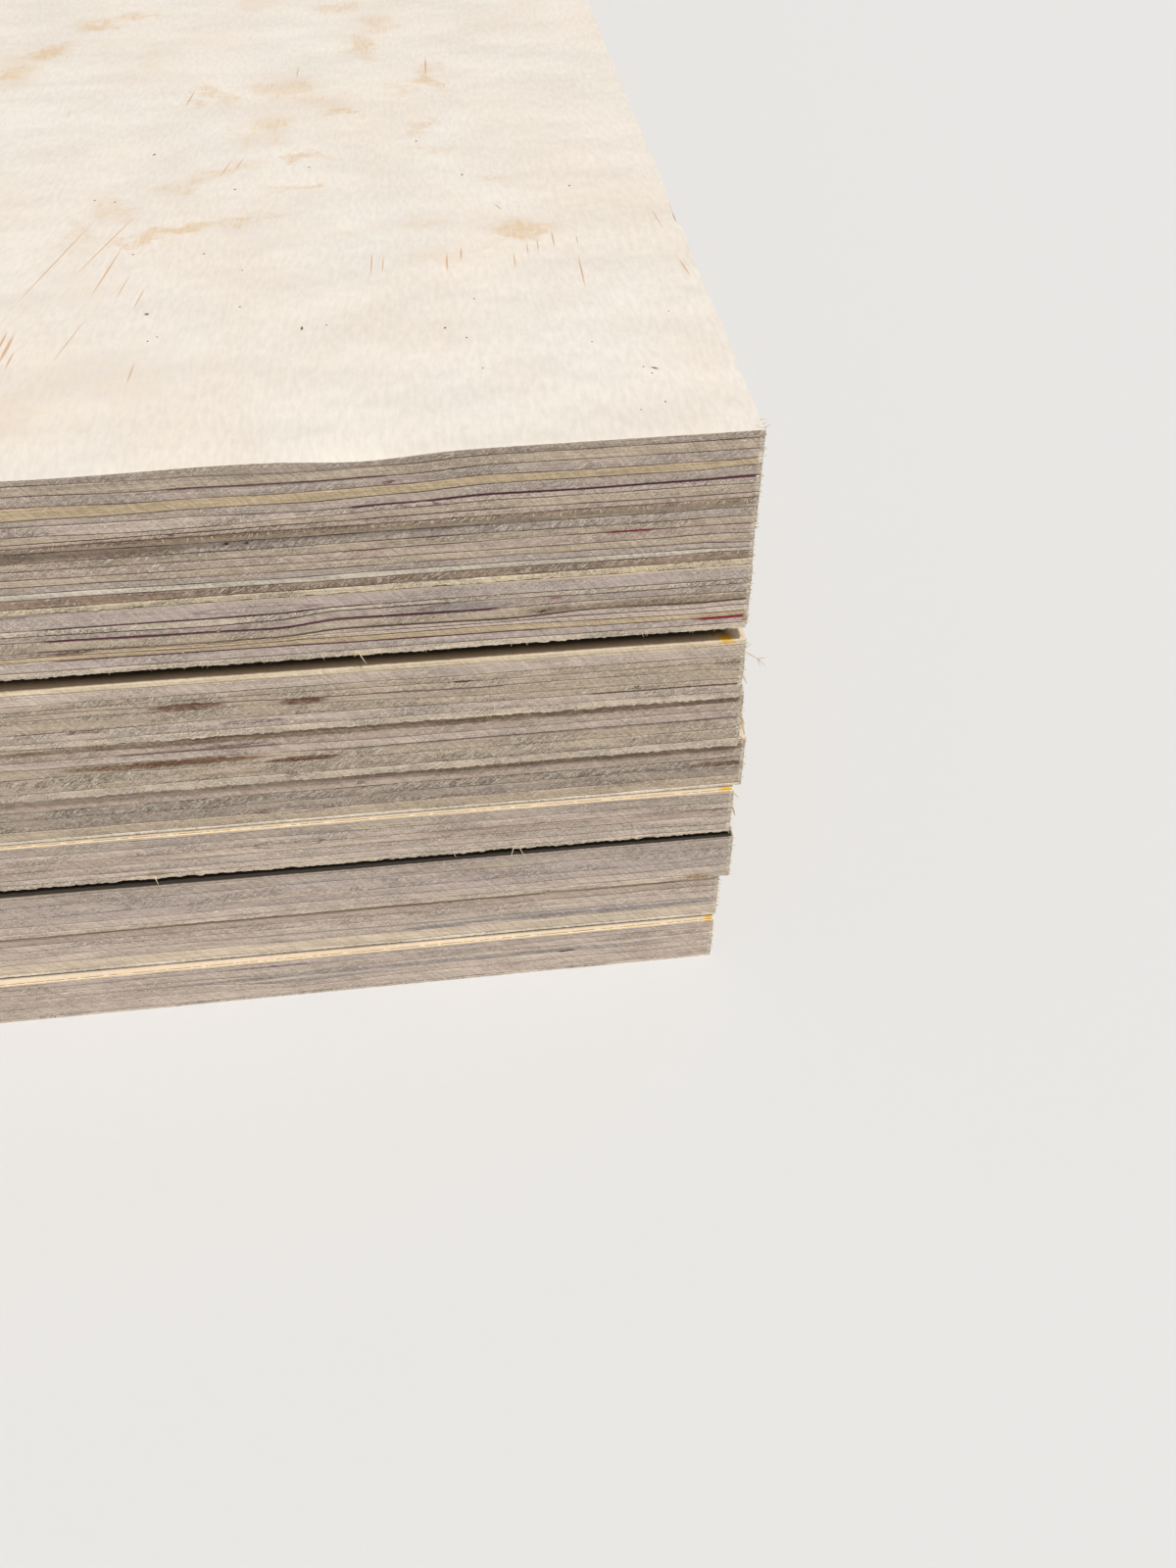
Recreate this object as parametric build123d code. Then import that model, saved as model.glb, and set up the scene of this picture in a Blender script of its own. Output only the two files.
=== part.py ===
from build123d import *
import os
from typing import NamedTuple

# A stack of plywood sheets lying flat on the ground, in millimetres.
# X runs along the short side of the sheets, Y along their long side and face grain, Z up.
# The origin is the middle of the underside of the lowest sheet.

# One sheet, at the size it is sold in
sheet_width = 1220.0
sheet_length = 2440.0
sheet_thickness = 18.0

# Two rough faces that rest on each other leave this much air between them
face_gap = 0.1


class Lay(NamedTuple):
    """How one sheet lies, measured at the stack's front right corner, towards -Y and +X.

    forward and sideways say how far the sheet's corner stands out past the lowest sheet's.
    turn is in degrees about that corner, anticlockwise as seen from above.
    end_gap is how much further the sheet's curled ends stand off the sheet below than its middle does.
    """

    forward: float
    sideways: float
    turn: float
    end_gap: float


# From the top of the stack down. A sheet with no end gap nests in the curl of the one below.
lays = [
    Lay(forward=-0.6, sideways=0.9, turn=0.05, end_gap=0.0),
    Lay(forward=-1.0, sideways=0.9, turn=-0.25, end_gap=0.0),
    Lay(forward=-0.6, sideways=1.1, turn=-0.45, end_gap=5.5),
    Lay(forward=-1.5, sideways=1.6, turn=-0.5, end_gap=0.0),
    Lay(forward=-2.3, sideways=2.6, turn=-0.3, end_gap=0.0),
    Lay(forward=-3.5, sideways=4.9, turn=-0.3, end_gap=0.0),
    Lay(forward=-1.6, sideways=2.5, turn=-0.45, end_gap=0.8),
    Lay(forward=-1.4, sideways=3.7, turn=-0.2, end_gap=0.0),
    Lay(forward=-1.9, sideways=0.9, turn=-0.25, end_gap=0.2),
    Lay(forward=0.0, sideways=0.0, turn=0.0, end_gap=0.0),
]


def flat_sheet():
    """A sheet with no curl, its underside at z = 0."""
    return Box(sheet_width, sheet_length, sheet_thickness, align=(Align.CENTER, Align.CENTER, Align.MIN))


def curled_sheet(curl):
    """A sheet whose short ends stand higher than its middle by the curl, with the middle at z = 0."""
    end = sheet_length / 2
    middle_top = sheet_thickness
    end_top = curl + sheet_thickness
    underside = ThreePointArc((-end, curl), (0, 0), (end, curl))
    back_end = Line((end, curl), (end, end_top))
    face = ThreePointArc((end, end_top), (0, middle_top), (-end, end_top))
    front_end = Line((-end, end_top), (-end, curl))
    section = Plane.YZ * make_face([underside, back_end, face, front_end])
    return extrude(section, amount=sheet_width / 2, both=True)


def laid(sheet, lay, height):
    """The sheet turned about its front right corner and moved to its place in the stack."""
    to_corner = Pos(-sheet_width / 2, sheet_length / 2, 0)
    corner = Pos(sheet_width / 2 + lay.sideways, -sheet_length / 2 - lay.forward, height)
    return corner * Rot(0, 0, lay.turn) * to_corner * sheet


def build_stack():
    """Every sheet by name, from the lowest up, each resting on the one below at the middle of its length."""
    sheets = {}
    height = 0.0
    curl = 0.0
    for number, lay in reversed(list(enumerate(lays, start=1))):
        curl += lay.end_gap
        sheet = curled_sheet(curl) if curl > 0 else flat_sheet()
        sheets[f"plywood_sheet_{number:02d}"] = laid(sheet, lay, height)
        height += sheet_thickness + face_gap
    return sheets


os.makedirs("parts", exist_ok=True)
for name, sheet in build_stack().items():
    export_step(sheet, f"parts/{name}.step")
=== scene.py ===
# %% [markdown]
# # A stack of plywood sheets
#
# Plywood is a sandwich of thin veneers, glued with the grain turned a quarter round from one to the
# next. The sheets in this stack are ordinary shop stock: a pale face veneer on top, and raw edges
# where the saw went through every ply. Nearly everything that says "plywood" is on those edges, so
# most of this lesson is about them: wavy glue lines, torn end grain and a frayed lower arris.
#
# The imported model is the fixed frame. It says how each sheet lies, and every piece made here
# follows it.

# %% Load the frame
import math
from typing import NamedTuple

import bmesh
import bpy
import numpy as np
from mathutils import Euler, Matrix, Vector


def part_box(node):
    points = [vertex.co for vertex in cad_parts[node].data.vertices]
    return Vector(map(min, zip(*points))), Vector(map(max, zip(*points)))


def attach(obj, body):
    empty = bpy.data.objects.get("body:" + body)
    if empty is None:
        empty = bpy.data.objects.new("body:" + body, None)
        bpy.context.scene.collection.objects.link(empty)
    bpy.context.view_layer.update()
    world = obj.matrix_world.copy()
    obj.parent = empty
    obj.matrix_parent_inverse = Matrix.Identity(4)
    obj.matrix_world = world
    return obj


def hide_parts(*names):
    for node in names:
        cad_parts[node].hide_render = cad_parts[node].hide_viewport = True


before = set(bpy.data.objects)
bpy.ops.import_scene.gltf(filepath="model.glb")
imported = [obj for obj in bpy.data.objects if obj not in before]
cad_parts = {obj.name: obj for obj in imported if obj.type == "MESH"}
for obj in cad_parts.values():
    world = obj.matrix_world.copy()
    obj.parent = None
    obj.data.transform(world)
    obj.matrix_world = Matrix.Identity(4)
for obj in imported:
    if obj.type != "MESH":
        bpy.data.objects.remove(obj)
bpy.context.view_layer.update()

MM = 0.001
sheet_names = sorted(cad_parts)
print("sheets:", sheet_names)

# %% [markdown]
# ## How each sheet lies
#
# The sheets aren't squared up: each is pushed a few millimetres out of line and turned a fraction
# of a degree, and their ends curl up. None of that is written here again. It is read back from the
# frame: the lowest sheet lies flat and square, so its box is the size of a sheet, and the corners
# of each of the others give its place, its turn and its curl.

# %% Read the lay of the sheets
flat_low, flat_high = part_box(sheet_names[-1])
WIDTH, LENGTH, THICK = flat_high - flat_low


class Lay(NamedTuple):
    """Where a sheet's front right corner is, how far the sheet is turned, and how high its ends curl."""

    corner: Vector
    turn: float
    curl: float


def read_lay(node):
    """Reads the lay from the corners of the sheet's underside."""
    points = [v.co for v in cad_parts[node].data.vertices]
    lowest = min(p.z for p in points)
    front_right = min(points, key=lambda p: (round(p.y - p.x, 5), p.z))
    front_left = min(points, key=lambda p: (round(p.y + p.x, 5), p.z))
    side = front_right - front_left
    return Lay(front_right.copy(), math.atan2(side.y, side.x), front_right.z - lowest)


lays = {name: read_lay(name) for name in sheet_names}
for name, lay in lays.items():
    print(name, "turn", round(math.degrees(lay.turn), 2), "curl mm", round(lay.curl / MM, 2))

# %% [markdown]
# ## The camera
#
# The photograph was taken from about 30 cm away, looking down at the front right corner of the
# stack. A camera that stands this close needs its near clip turned down, and its place is best
# given from the corner that it looks at.

# %% Place the camera
PHOTO_WIDTH, PHOTO_HEIGHT = 1200, 1600
FOCAL_PIXELS = 1340.0
SENSOR_HEIGHT_MM = 32.0
CAMERA_FROM_CORNER_MM = (-66.8, -250.5, 337.5)
CAMERA_TURN_DEGREES = (44.66, 0.26, -6.60)
NEAR_CLIP, FAR_CLIP = 0.01, 60.0

photo_corner = Vector((flat_high.x, flat_low.y, 0.0))
camera_data = bpy.data.cameras.new("photo_camera")
camera_data.sensor_fit = "VERTICAL"
camera_data.sensor_height = SENSOR_HEIGHT_MM
camera_data.sensor_width = SENSOR_HEIGHT_MM * PHOTO_WIDTH / PHOTO_HEIGHT
camera_data.lens = SENSOR_HEIGHT_MM * FOCAL_PIXELS / PHOTO_HEIGHT
camera_data.clip_start = NEAR_CLIP
camera_data.clip_end = FAR_CLIP
camera = bpy.data.objects.new("photo_camera", camera_data)
camera.location = photo_corner + Vector(CAMERA_FROM_CORNER_MM) * MM
camera.rotation_euler = Euler([math.radians(a) for a in CAMERA_TURN_DEGREES], "XYZ")
bpy.context.scene.collection.objects.link(camera)
bpy.context.scene.camera = camera
print("lens mm", round(camera_data.lens, 2))

# %% [markdown]
# ## Floor and light
#
# A stack is easiest to judge on a plain pale floor in soft light. The main light is high and a
# little in front, because each sheet that overhangs the next throws a thin band of shadow on it,
# and those bands are what make the steps in the stack readable. A sun with a wide angle gives soft
# edges and lights both ends of a long stack alike. The floor is pale to the camera, but sends less
# light back up, so the shadow bands stay dark.

# %% Lay the floor
FLOOR_SIZE = 90.0
FLOOR_TO_LIGHT = (0.58, 0.575, 0.565, 1.0)
FLOOR_TO_CAMERA = (0.74, 0.74, 0.735, 1.0)
bm = bmesh.new()
bmesh.ops.create_grid(bm, x_segments=1, y_segments=1, size=FLOOR_SIZE / 2)
floor_mesh = bpy.data.meshes.new("floor")
bm.to_mesh(floor_mesh)
bm.free()
floor = bpy.data.objects.new("floor", floor_mesh)
bpy.context.scene.collection.objects.link(floor)

floor_material = bpy.data.materials.new("pale_floor")
floor_material.use_nodes = True
floor_tree = floor_material.node_tree
floor_shader = floor_tree.nodes["Principled BSDF"]
floor_shader.inputs["Roughness"].default_value = 0.9
floor_shader.inputs["Specular IOR Level"].default_value = 0.1
floor_path = floor_tree.nodes.new("ShaderNodeLightPath")
floor_mix = floor_tree.nodes.new("ShaderNodeMix")
floor_mix.data_type = "RGBA"
floor_mix.inputs["A"].default_value = FLOOR_TO_LIGHT
floor_mix.inputs["B"].default_value = FLOOR_TO_CAMERA
floor_tree.links.new(floor_path.outputs["Is Camera Ray"], floor_mix.inputs["Factor"])
floor_tree.links.new(floor_mix.outputs["Result"], floor_shader.inputs["Base Color"])
floor_mesh.materials.append(floor_material)
print("floor", FLOOR_SIZE, "m across")

# %% [markdown]
# The sky fills the shadows. It is white to the camera, and a third as strong to everything else,
# so the background is pale and yet the shadow bands are soft but dark. The sun does the rest.

# %% Sky and sun
SKY_TO_LIGHT, SKY_TO_CAMERA = 0.34, 1.0
SUN_STRENGTH = 2.55
SUN_WIDTH_DEGREES = 6.0
SUN_TURN_DEGREES = (19.0, 8.0, 0.0)
SUN_COLOUR = (1.0, 0.99, 0.975)

world = bpy.data.worlds.new("soft_room")
world.use_nodes = True
bpy.context.scene.world = world
sky = world.node_tree.nodes["Background"]
sky_path = world.node_tree.nodes.new("ShaderNodeLightPath")
sky_strength = world.node_tree.nodes.new("ShaderNodeMix")
sky_strength.inputs["A"].default_value = SKY_TO_LIGHT
sky_strength.inputs["B"].default_value = SKY_TO_CAMERA
world.node_tree.links.new(sky_path.outputs["Is Camera Ray"], sky_strength.inputs["Factor"])
world.node_tree.links.new(sky_strength.outputs["Result"], sky.inputs["Strength"])
sky.inputs["Color"].default_value = (1.0, 1.0, 1.0, 1.0)

sun_data = bpy.data.lights.new("high_softbox", "SUN")
sun_data.energy = SUN_STRENGTH
sun_data.angle = math.radians(SUN_WIDTH_DEGREES)
sun_data.color = SUN_COLOUR
sun = bpy.data.objects.new("high_softbox", sun_data)
sun.rotation_euler = Euler([math.radians(a) for a in SUN_TURN_DEGREES], "XYZ")
bpy.context.scene.collection.objects.link(sun)

bpy.context.scene.view_settings.view_transform = "Standard"
print("sun strength", sun_data.energy, "sky strength", SKY_TO_LIGHT)

# %% [markdown]
# ## The blank: one plain sheet, cut for detail
#
# Every sheet starts from the same blank, a cube scaled to the size of a sheet. Detail is only
# needed on the edges, and finest at the corner that the camera is close to. So the blank is cut
# across into a few wide cells, the edge of each cell is subdivided as finely as its place needs,
# and level cuts then run round the edges to give rows that will become plies. The top and bottom
# keep big faces inside and get one narrow ring of faces along the arris, where it will be frayed.

# %% Cut the blank
ROWS = 25
FINE_STEP = 0.35 * MM
ARRIS = 0.3 * MM
FRONT_CELLS = [0.01, 0.03, 0.06, 0.10, 0.15, 0.19, 0.24, 0.32, 0.45, 0.62, 0.80, 1.00]
SIDE_CELLS = [0.02, 0.06, 0.12, 0.20, 0.30, 0.42, 0.60, 0.80, 1.00, 1.22, 1.44, 1.66, 1.88, 2.10, 2.27, 2.36]
FRONT_STEPS = [(0.19, FINE_STEP), (0.24, 1.0 * MM), (0.32, 3.0 * MM)]
RIGHT_STEPS = [(0.02, FINE_STEP), (0.12, 1.0 * MM), (0.20, 3.0 * MM)]
COARSE_STEP = 12.0 * MM


def edge_step(side, distance):
    """How far apart the cuts across an edge are, at a distance from the front right corner."""
    for reach, step in {"front": FRONT_STEPS, "right": RIGHT_STEPS}.get(side, []):
        if distance < reach:
            return step
    return COARSE_STEP


def cut_across(bm, axis, distances):
    """Cuts the blank into cells with upright planes at the distances from its front right corner."""
    for distance in distances:
        place = Vector((-distance, 0, 0)) if axis == "x" else Vector((0, distance, 0))
        normal = Vector((1, 0, 0)) if axis == "x" else Vector((0, 1, 0))
        geometry = bm.verts[:] + bm.edges[:] + bm.faces[:]
        bmesh.ops.bisect_plane(bm, geom=geometry, plane_co=place, plane_no=normal, dist=1e-7)


def side_of(edge):
    """Which side of the sheet a level edge on its outline belongs to, or None."""
    middle = (edge.verts[0].co + edge.verts[1].co) / 2
    along = edge.verts[1].co - edge.verts[0].co
    if abs(along.z) > 1e-6:
        return None
    if abs(along.y) < 1e-7 and abs(middle.y) < 1e-6:
        return "front"
    if abs(along.y) < 1e-7 and abs(middle.y - LENGTH) < 1e-6:
        return "back"
    if abs(along.x) < 1e-7 and abs(middle.x) < 1e-6:
        return "right"
    if abs(along.x) < 1e-7 and abs(middle.x + WIDTH) < 1e-6:
        return "left"
    return None


def divide_outline(bm):
    """Subdivides the outline of each cell, a side at a time, so that no face is split on two sides at once."""
    for side in ("front", "back", "right", "left"):
        by_cuts = {}
        for edge in bm.edges:
            if side_of(edge) != side:
                continue
            ends = [v.co.x if side in ("front", "back") else v.co.y for v in edge.verts]
            nearest = min(abs(e) for e in ends)
            cuts = round(edge.calc_length() / edge_step(side, nearest)) - 1
            if cuts > 0:
                by_cuts.setdefault(cuts, []).append(edge)
        for cuts, edges in by_cuts.items():
            bmesh.ops.subdivide_edges(bm, edges=edges, cuts=cuts, use_grid_fill=True)


def make_blank(name, cells_x=(), cells_y=(), rings=(ARRIS,)):
    """The blank as a mesh, its front right lower corner at the origin, reaching to -X and +Y."""
    bm = bmesh.new()
    bmesh.ops.create_cube(bm, size=1.0)
    bmesh.ops.scale(bm, vec=(WIDTH, LENGTH, THICK), verts=bm.verts)
    bmesh.ops.translate(bm, vec=(-WIDTH / 2, LENGTH / 2, THICK / 2), verts=bm.verts)
    cut_across(bm, "x", sorted(FRONT_CELLS + list(cells_x)))
    cut_across(bm, "y", sorted(SIDE_CELLS + list(cells_y)))
    divide_outline(bm)
    bm.normal_update()
    for row in range(1, ROWS):
        walls = [f for f in bm.faces if abs(f.normal.z) < 0.5]
        geometry = {v for f in walls for v in f.verts} | {e for f in walls for e in f.edges} | set(walls)
        level = Vector((0, 0, THICK * row / ROWS))
        bmesh.ops.bisect_plane(bm, geom=list(geometry), plane_co=level, plane_no=(0, 0, 1), dist=1e-7)
    bm.normal_update()
    for upward in (True, False):
        face_side = [f for f in bm.faces if (f.normal.z > 0.5 if upward else f.normal.z < -0.5)]
        inset = 0.0
        for width in rings:
            bmesh.ops.inset_region(bm, faces=face_side, thickness=width, use_even_offset=True)
            inset += width
            for v in {v for f in face_side for v in f.verts}:
                v.co.x = min(max(v.co.x, inset - WIDTH), -inset)
                v.co.y = min(max(v.co.y, inset), LENGTH - inset)
    bmesh.ops.remove_doubles(bm, verts=bm.verts, dist=1e-6)
    mesh = bpy.data.meshes.new(name)
    bm.to_mesh(mesh)
    bm.free()
    mesh.calc_loop_triangles()
    print(name, len(mesh.vertices), "vertices,", len(mesh.loop_triangles), "triangles")
    return mesh


# The top face gets more cells near the corner, for its faint swell. Cuts that are there already are left out.
QUILT_CELL = 6.0 * MM
QUILT_CELLS_X = [QUILT_CELL * n for n in range(1, 30) if n % 5]
QUILT_CELLS_Y = [QUILT_CELL * n for n in range(1, 57) if n % 10]
blank = make_blank("blank")
top_blank = make_blank("top_blank", QUILT_CELLS_X, QUILT_CELLS_Y, rings=(ARRIS, 1.5 * MM))

# %% [markdown]
# ## What was read off each sheet
#
# A maker who copies a real stack measures it. Here that is done for the corner in the photograph:
# for each sheet, how deep each glue line lies at a few places along the front edge, what each ply
# looks like, and where the knots and stains are. Away from that corner the plies wander at random,
# as real ones do, because veneers differ in thickness and give a little in the press.
#
# The tones are the wood's own colours. Fresh birch is grey pink, and the plies between differ
# because each comes from another log: some lilac, some tan, a few brown near the heart.

# %% Tones


def wood(red, green, blue):
    """A colour that is written as on a colour chart, 0 to 255, in the linear numbers that shaders use."""
    linear = [((c / 255 + 0.055) / 1.055) ** 2.4 for c in (red, green, blue)]
    return (*linear, 1.0)


TONES = {
    "grey": wood(199, 182, 168),
    "dull": wood(188, 171, 156),
    "lilac": wood(209, 191, 180),
    "rose": wood(207, 186, 169),
    "straw": wood(209, 190, 167),
    "tan": wood(209, 186, 152),
    "light": wood(222, 203, 187),
    "pale": wood(232, 214, 192),
    "cream": wood(244, 224, 190),
    "chalk": wood(230, 218, 199),
    "white": wood(252, 243, 226),
    "blue": wood(166, 160, 157),
    "brown": wood(176, 152, 130),
    # Hollow is mostly painted shade, for pits and gaps in the edges; shade is the painted shadow band under an
    # overhanging sheet.
    "hollow": wood(130, 107, 87),
    "shade": wood(152, 131, 110),
    "dark": wood(124, 87, 68),
    "bark": wood(150, 116, 91),
    "umber": wood(88, 60, 46),
    "black": wood(38, 28, 22),
    "purple": wood(88, 36, 62),
    "plum": wood(120, 84, 92),
    "glue": wood(98, 62, 74),
    "crimson": wood(152, 34, 62),
    "stain": wood(222, 189, 147),
    "resin": wood(206, 148, 86),
    "paint": wood(236, 182, 48),
    "butter": wood(250, 226, 176),
}
print(len(TONES), "tones")

# %% [markdown]
# A sheet's edge is written down as a small record: the depths of its glue lines at a few distances
# from the corner, the tone and roughness of each ply, and lists of marks. A mark is a knot, a stain
# or a lens. A bold stretch is a glue line that shows dark, where the resin bled or the plies gape.
# The record also says how far the lower arris hangs, or with a minus how far it is worn up.

# %% How an edge is written down

# How rough the saw left a ply, from smooth to torn.
SMOOTH, HATCHED, FIBROUS, TORN = 0.06, 0.42, 0.75, 1.0


class Mark(NamedTuple):
    """A knot, stain or lens on an edge, in millimetres left of the front right corner and down the edge."""

    at: float
    down: float
    half_length: float
    half_height: float
    tone: str
    strength: float = 0.8
    outline: float = 0.0


class Bold(NamedTuple):
    """A stretch of a glue line that shows more strongly, between two distances left of the corner.

    Half is half its width, as a share of a ply.
    """

    line: int
    start: float
    end: float
    tone: str
    strength: float = 0.9
    half: float = 0.11


class Sheet(NamedTuple):
    """The layout of one sheet's edge, in millimetres.

    Sections give the depths of the glue lines at distances from the corner. Hang is how far the lower arris
    droops, and a notch is a bite out of it: start, end, depth. A droop is where the face sags: place, depth,
    half length. Painted_arris_highlight is a painted highlight that mixes the upper arris toward cream,
    and line is how strongly the glue lines show.
    """

    sections: dict
    plies: list
    marks: list = []
    bolds: list = []
    hang: float = 0.0
    notches: list = []
    droop: list = []
    painted_arris_highlight: float = 0.0
    line: float = 0.6


print("from smooth to torn:", (SMOOTH, HATCHED, FIBROUS, TORN))

# %% [markdown]
# The three top sheets are the nearest to the camera, and their lines wander most. The face veneer of
# the first sags where a ply below it ends, and the third has a swirl where its lines part.

# %% The three top sheets
TOP_SHEETS = [
    Sheet(
        sections={
            0: [1.9, 4.7, 7.0, 9.2, 11.8, 13.4, 15.9, 17.2],
            60: [1.8, 4.2, 6.9, 9.0, 11.8, 13.3, 15.6, 17.2],
            80: [2.7, 5.2, 7.6, 9.8, 12.4, 13.7, 15.6, 17.2],
            100: [2.9, 5.4, 7.9, 10.4, 12.9, 14.4, 15.8, 17.3],
            130: [2.3, 5.0, 7.6, 10.3, 12.0, 14.9, 16.2, 17.4],
            168: [1.9, 4.4, 7.1, 10.3, 11.9, 14.5, 16.4, 17.4],
        },
        plies=[
            ("dull", HATCHED),
            ("straw", HATCHED),
            ("grey", HATCHED),
            ("tan", SMOOTH),
            ("grey", HATCHED),
            ("light", FIBROUS),
            ("straw", HATCHED),
            ("rose", FIBROUS),
            ("brown", FIBROUS),
        ],
        marks=[
            # painted shadow in the gap under the lower arris
            Mark(124, 17.5, 44, 0.7, "hollow", 0.6),
            Mark(122, 2.6, 46, 1.0, "dull", 0.8),
            Mark(77, 12.9, 4.5, 0.6, "light", 0.4, outline=0.8),
            Mark(83, 6.9, 0.8, 0.6, "plum", 0.8),
            Mark(132, 16.6, 0.8, 0.3, "umber", 0.8),
            Mark(60, 16.9, 40, 0.25, "pale", 0.5),
        ],
        bolds=[
            Bold(5, -4, 90, "purple", 0.9, 0.13),
            Bold(2, 82, 128, "purple", 0.6),
            Bold(7, 60, 150, "purple", 0.5, 0.08),
        ],
        hang=0.25,
        droop=[(88, 1.25, 14), (152, 0.5, 22)],
        painted_arris_highlight=0.7,
        line=0.85,
    ),
    Sheet(
        sections={
            0: [1.9, 4.3, 6.2, 8.9, 11.0, 12.8, 14.1, 16.2],
            100: [1.8, 4.2, 6.4, 8.8, 10.8, 12.6, 14.2, 16.3],
            168: [1.5, 4.1, 6.1, 8.4, 10.4, 12.3, 13.9, 16.4],
        },
        plies=[
            ("straw", HATCHED),
            ("grey", FIBROUS),
            ("straw", FIBROUS),
            ("rose", HATCHED),
            ("straw", HATCHED),
            ("grey", HATCHED),
            ("chalk", HATCHED),
            ("brown", TORN),
            ("cream", FIBROUS),
        ],
        marks=[
            Mark(126, 17.3, 42, 0.6, "straw", 0.8),
            Mark(152, 2.9, 30, 1.1, "brown", 0.8),
            Mark(121, 2.5, 1.1, 0.4, "black", 0.9),
            Mark(116, 2.4, 0.7, 0.3, "umber", 0.9),
            Mark(44, 9.7, 7, 0.7, "tan", 0.5),
            Mark(150, 14.9, 24, 0.7, "plum", 0.25),
        ],
        bolds=[
            Bold(3, 22, 33, "crimson"),
            Bold(3, 84, 90, "crimson", 0.6),
            Bold(3, 0, 22, "crimson", 0.45, 0.06),
        ],
        line=0.9,
    ),
    Sheet(
        sections={
            0: [3.7, 5.3, 7.4, 10.3, 12.2, 13.3, 15.1, 17.0],
            35: [3.7, 5.3, 7.3, 9.7, 11.6, 13.2, 15.0, 17.0],
            60: [3.6, 4.9, 7.6, 10.9, 11.8, 12.9, 14.7, 16.9],
            98: [3.8, 4.9, 7.3, 10.4, 11.6, 12.8, 14.5, 16.9],
            114: [4.6, 6.5, 8.7, 11.6, 12.0, 12.5, 14.3, 17.0],
            130: [4.7, 6.9, 8.3, 11.7, 12.1, 12.5, 14.2, 17.0],
            168: [4.7, 6.4, 8.2, 11.4, 11.8, 12.2, 14.0, 17.0],
        },
        plies=[
            ("lilac", HATCHED),
            ("pale", TORN),
            ("grey", HATCHED),
            ("straw", FIBROUS),
            ("light", HATCHED),
            ("light", HATCHED),
            ("tan", SMOOTH),
            ("lilac", HATCHED),
            ("pale", FIBROUS),
        ],
        marks=[
            Mark(132, 12.2, 46, 0.6, "tan", 0.95),
            Mark(69, 6.3, 11, 1.1, "blue", 0.6, outline=0.6),
            Mark(30, 9.0, 36, 1.1, "brown", 0.75),
            Mark(51, 9.4, 0.7, 0.5, "black", 0.9),
            Mark(118, 2.8, 14, 0.8, "lilac", 0.3, outline=0.6),
            Mark(47, 5.6, 1.6, 0.3, "crimson", 0.7),
            Mark(163, 12.0, 8, 0.4, "umber", 0.8),
            Mark(0.5, 16.2, 1.2, 0.8, "crimson", 0.5),
        ],
        bolds=[
            Bold(4, -4, 128, "umber", 0.75, 0.16),
            Bold(7, -4, 11, "crimson", 0.95, 0.20),
            Bold(3, 60, 165, "purple", 0.9, 0.11),
            Bold(4, 128, 168, "umber", 0.6, 0.16),
            Bold(1, 90, 165, "purple", 0.8, 0.08),
            Bold(2, 70, 165, "purple", 0.7, 0.08),
            Bold(5, 20, 60, "purple", 0.6, 0.08),
            Bold(7, 50, 165, "purple", 0.8, 0.09),
        ],
        hang=0.75,
        painted_arris_highlight=0.6,
        line=0.9,
    ),
]
print("plies:", [len(sheet.plies) for sheet in TOP_SHEETS])
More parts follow.
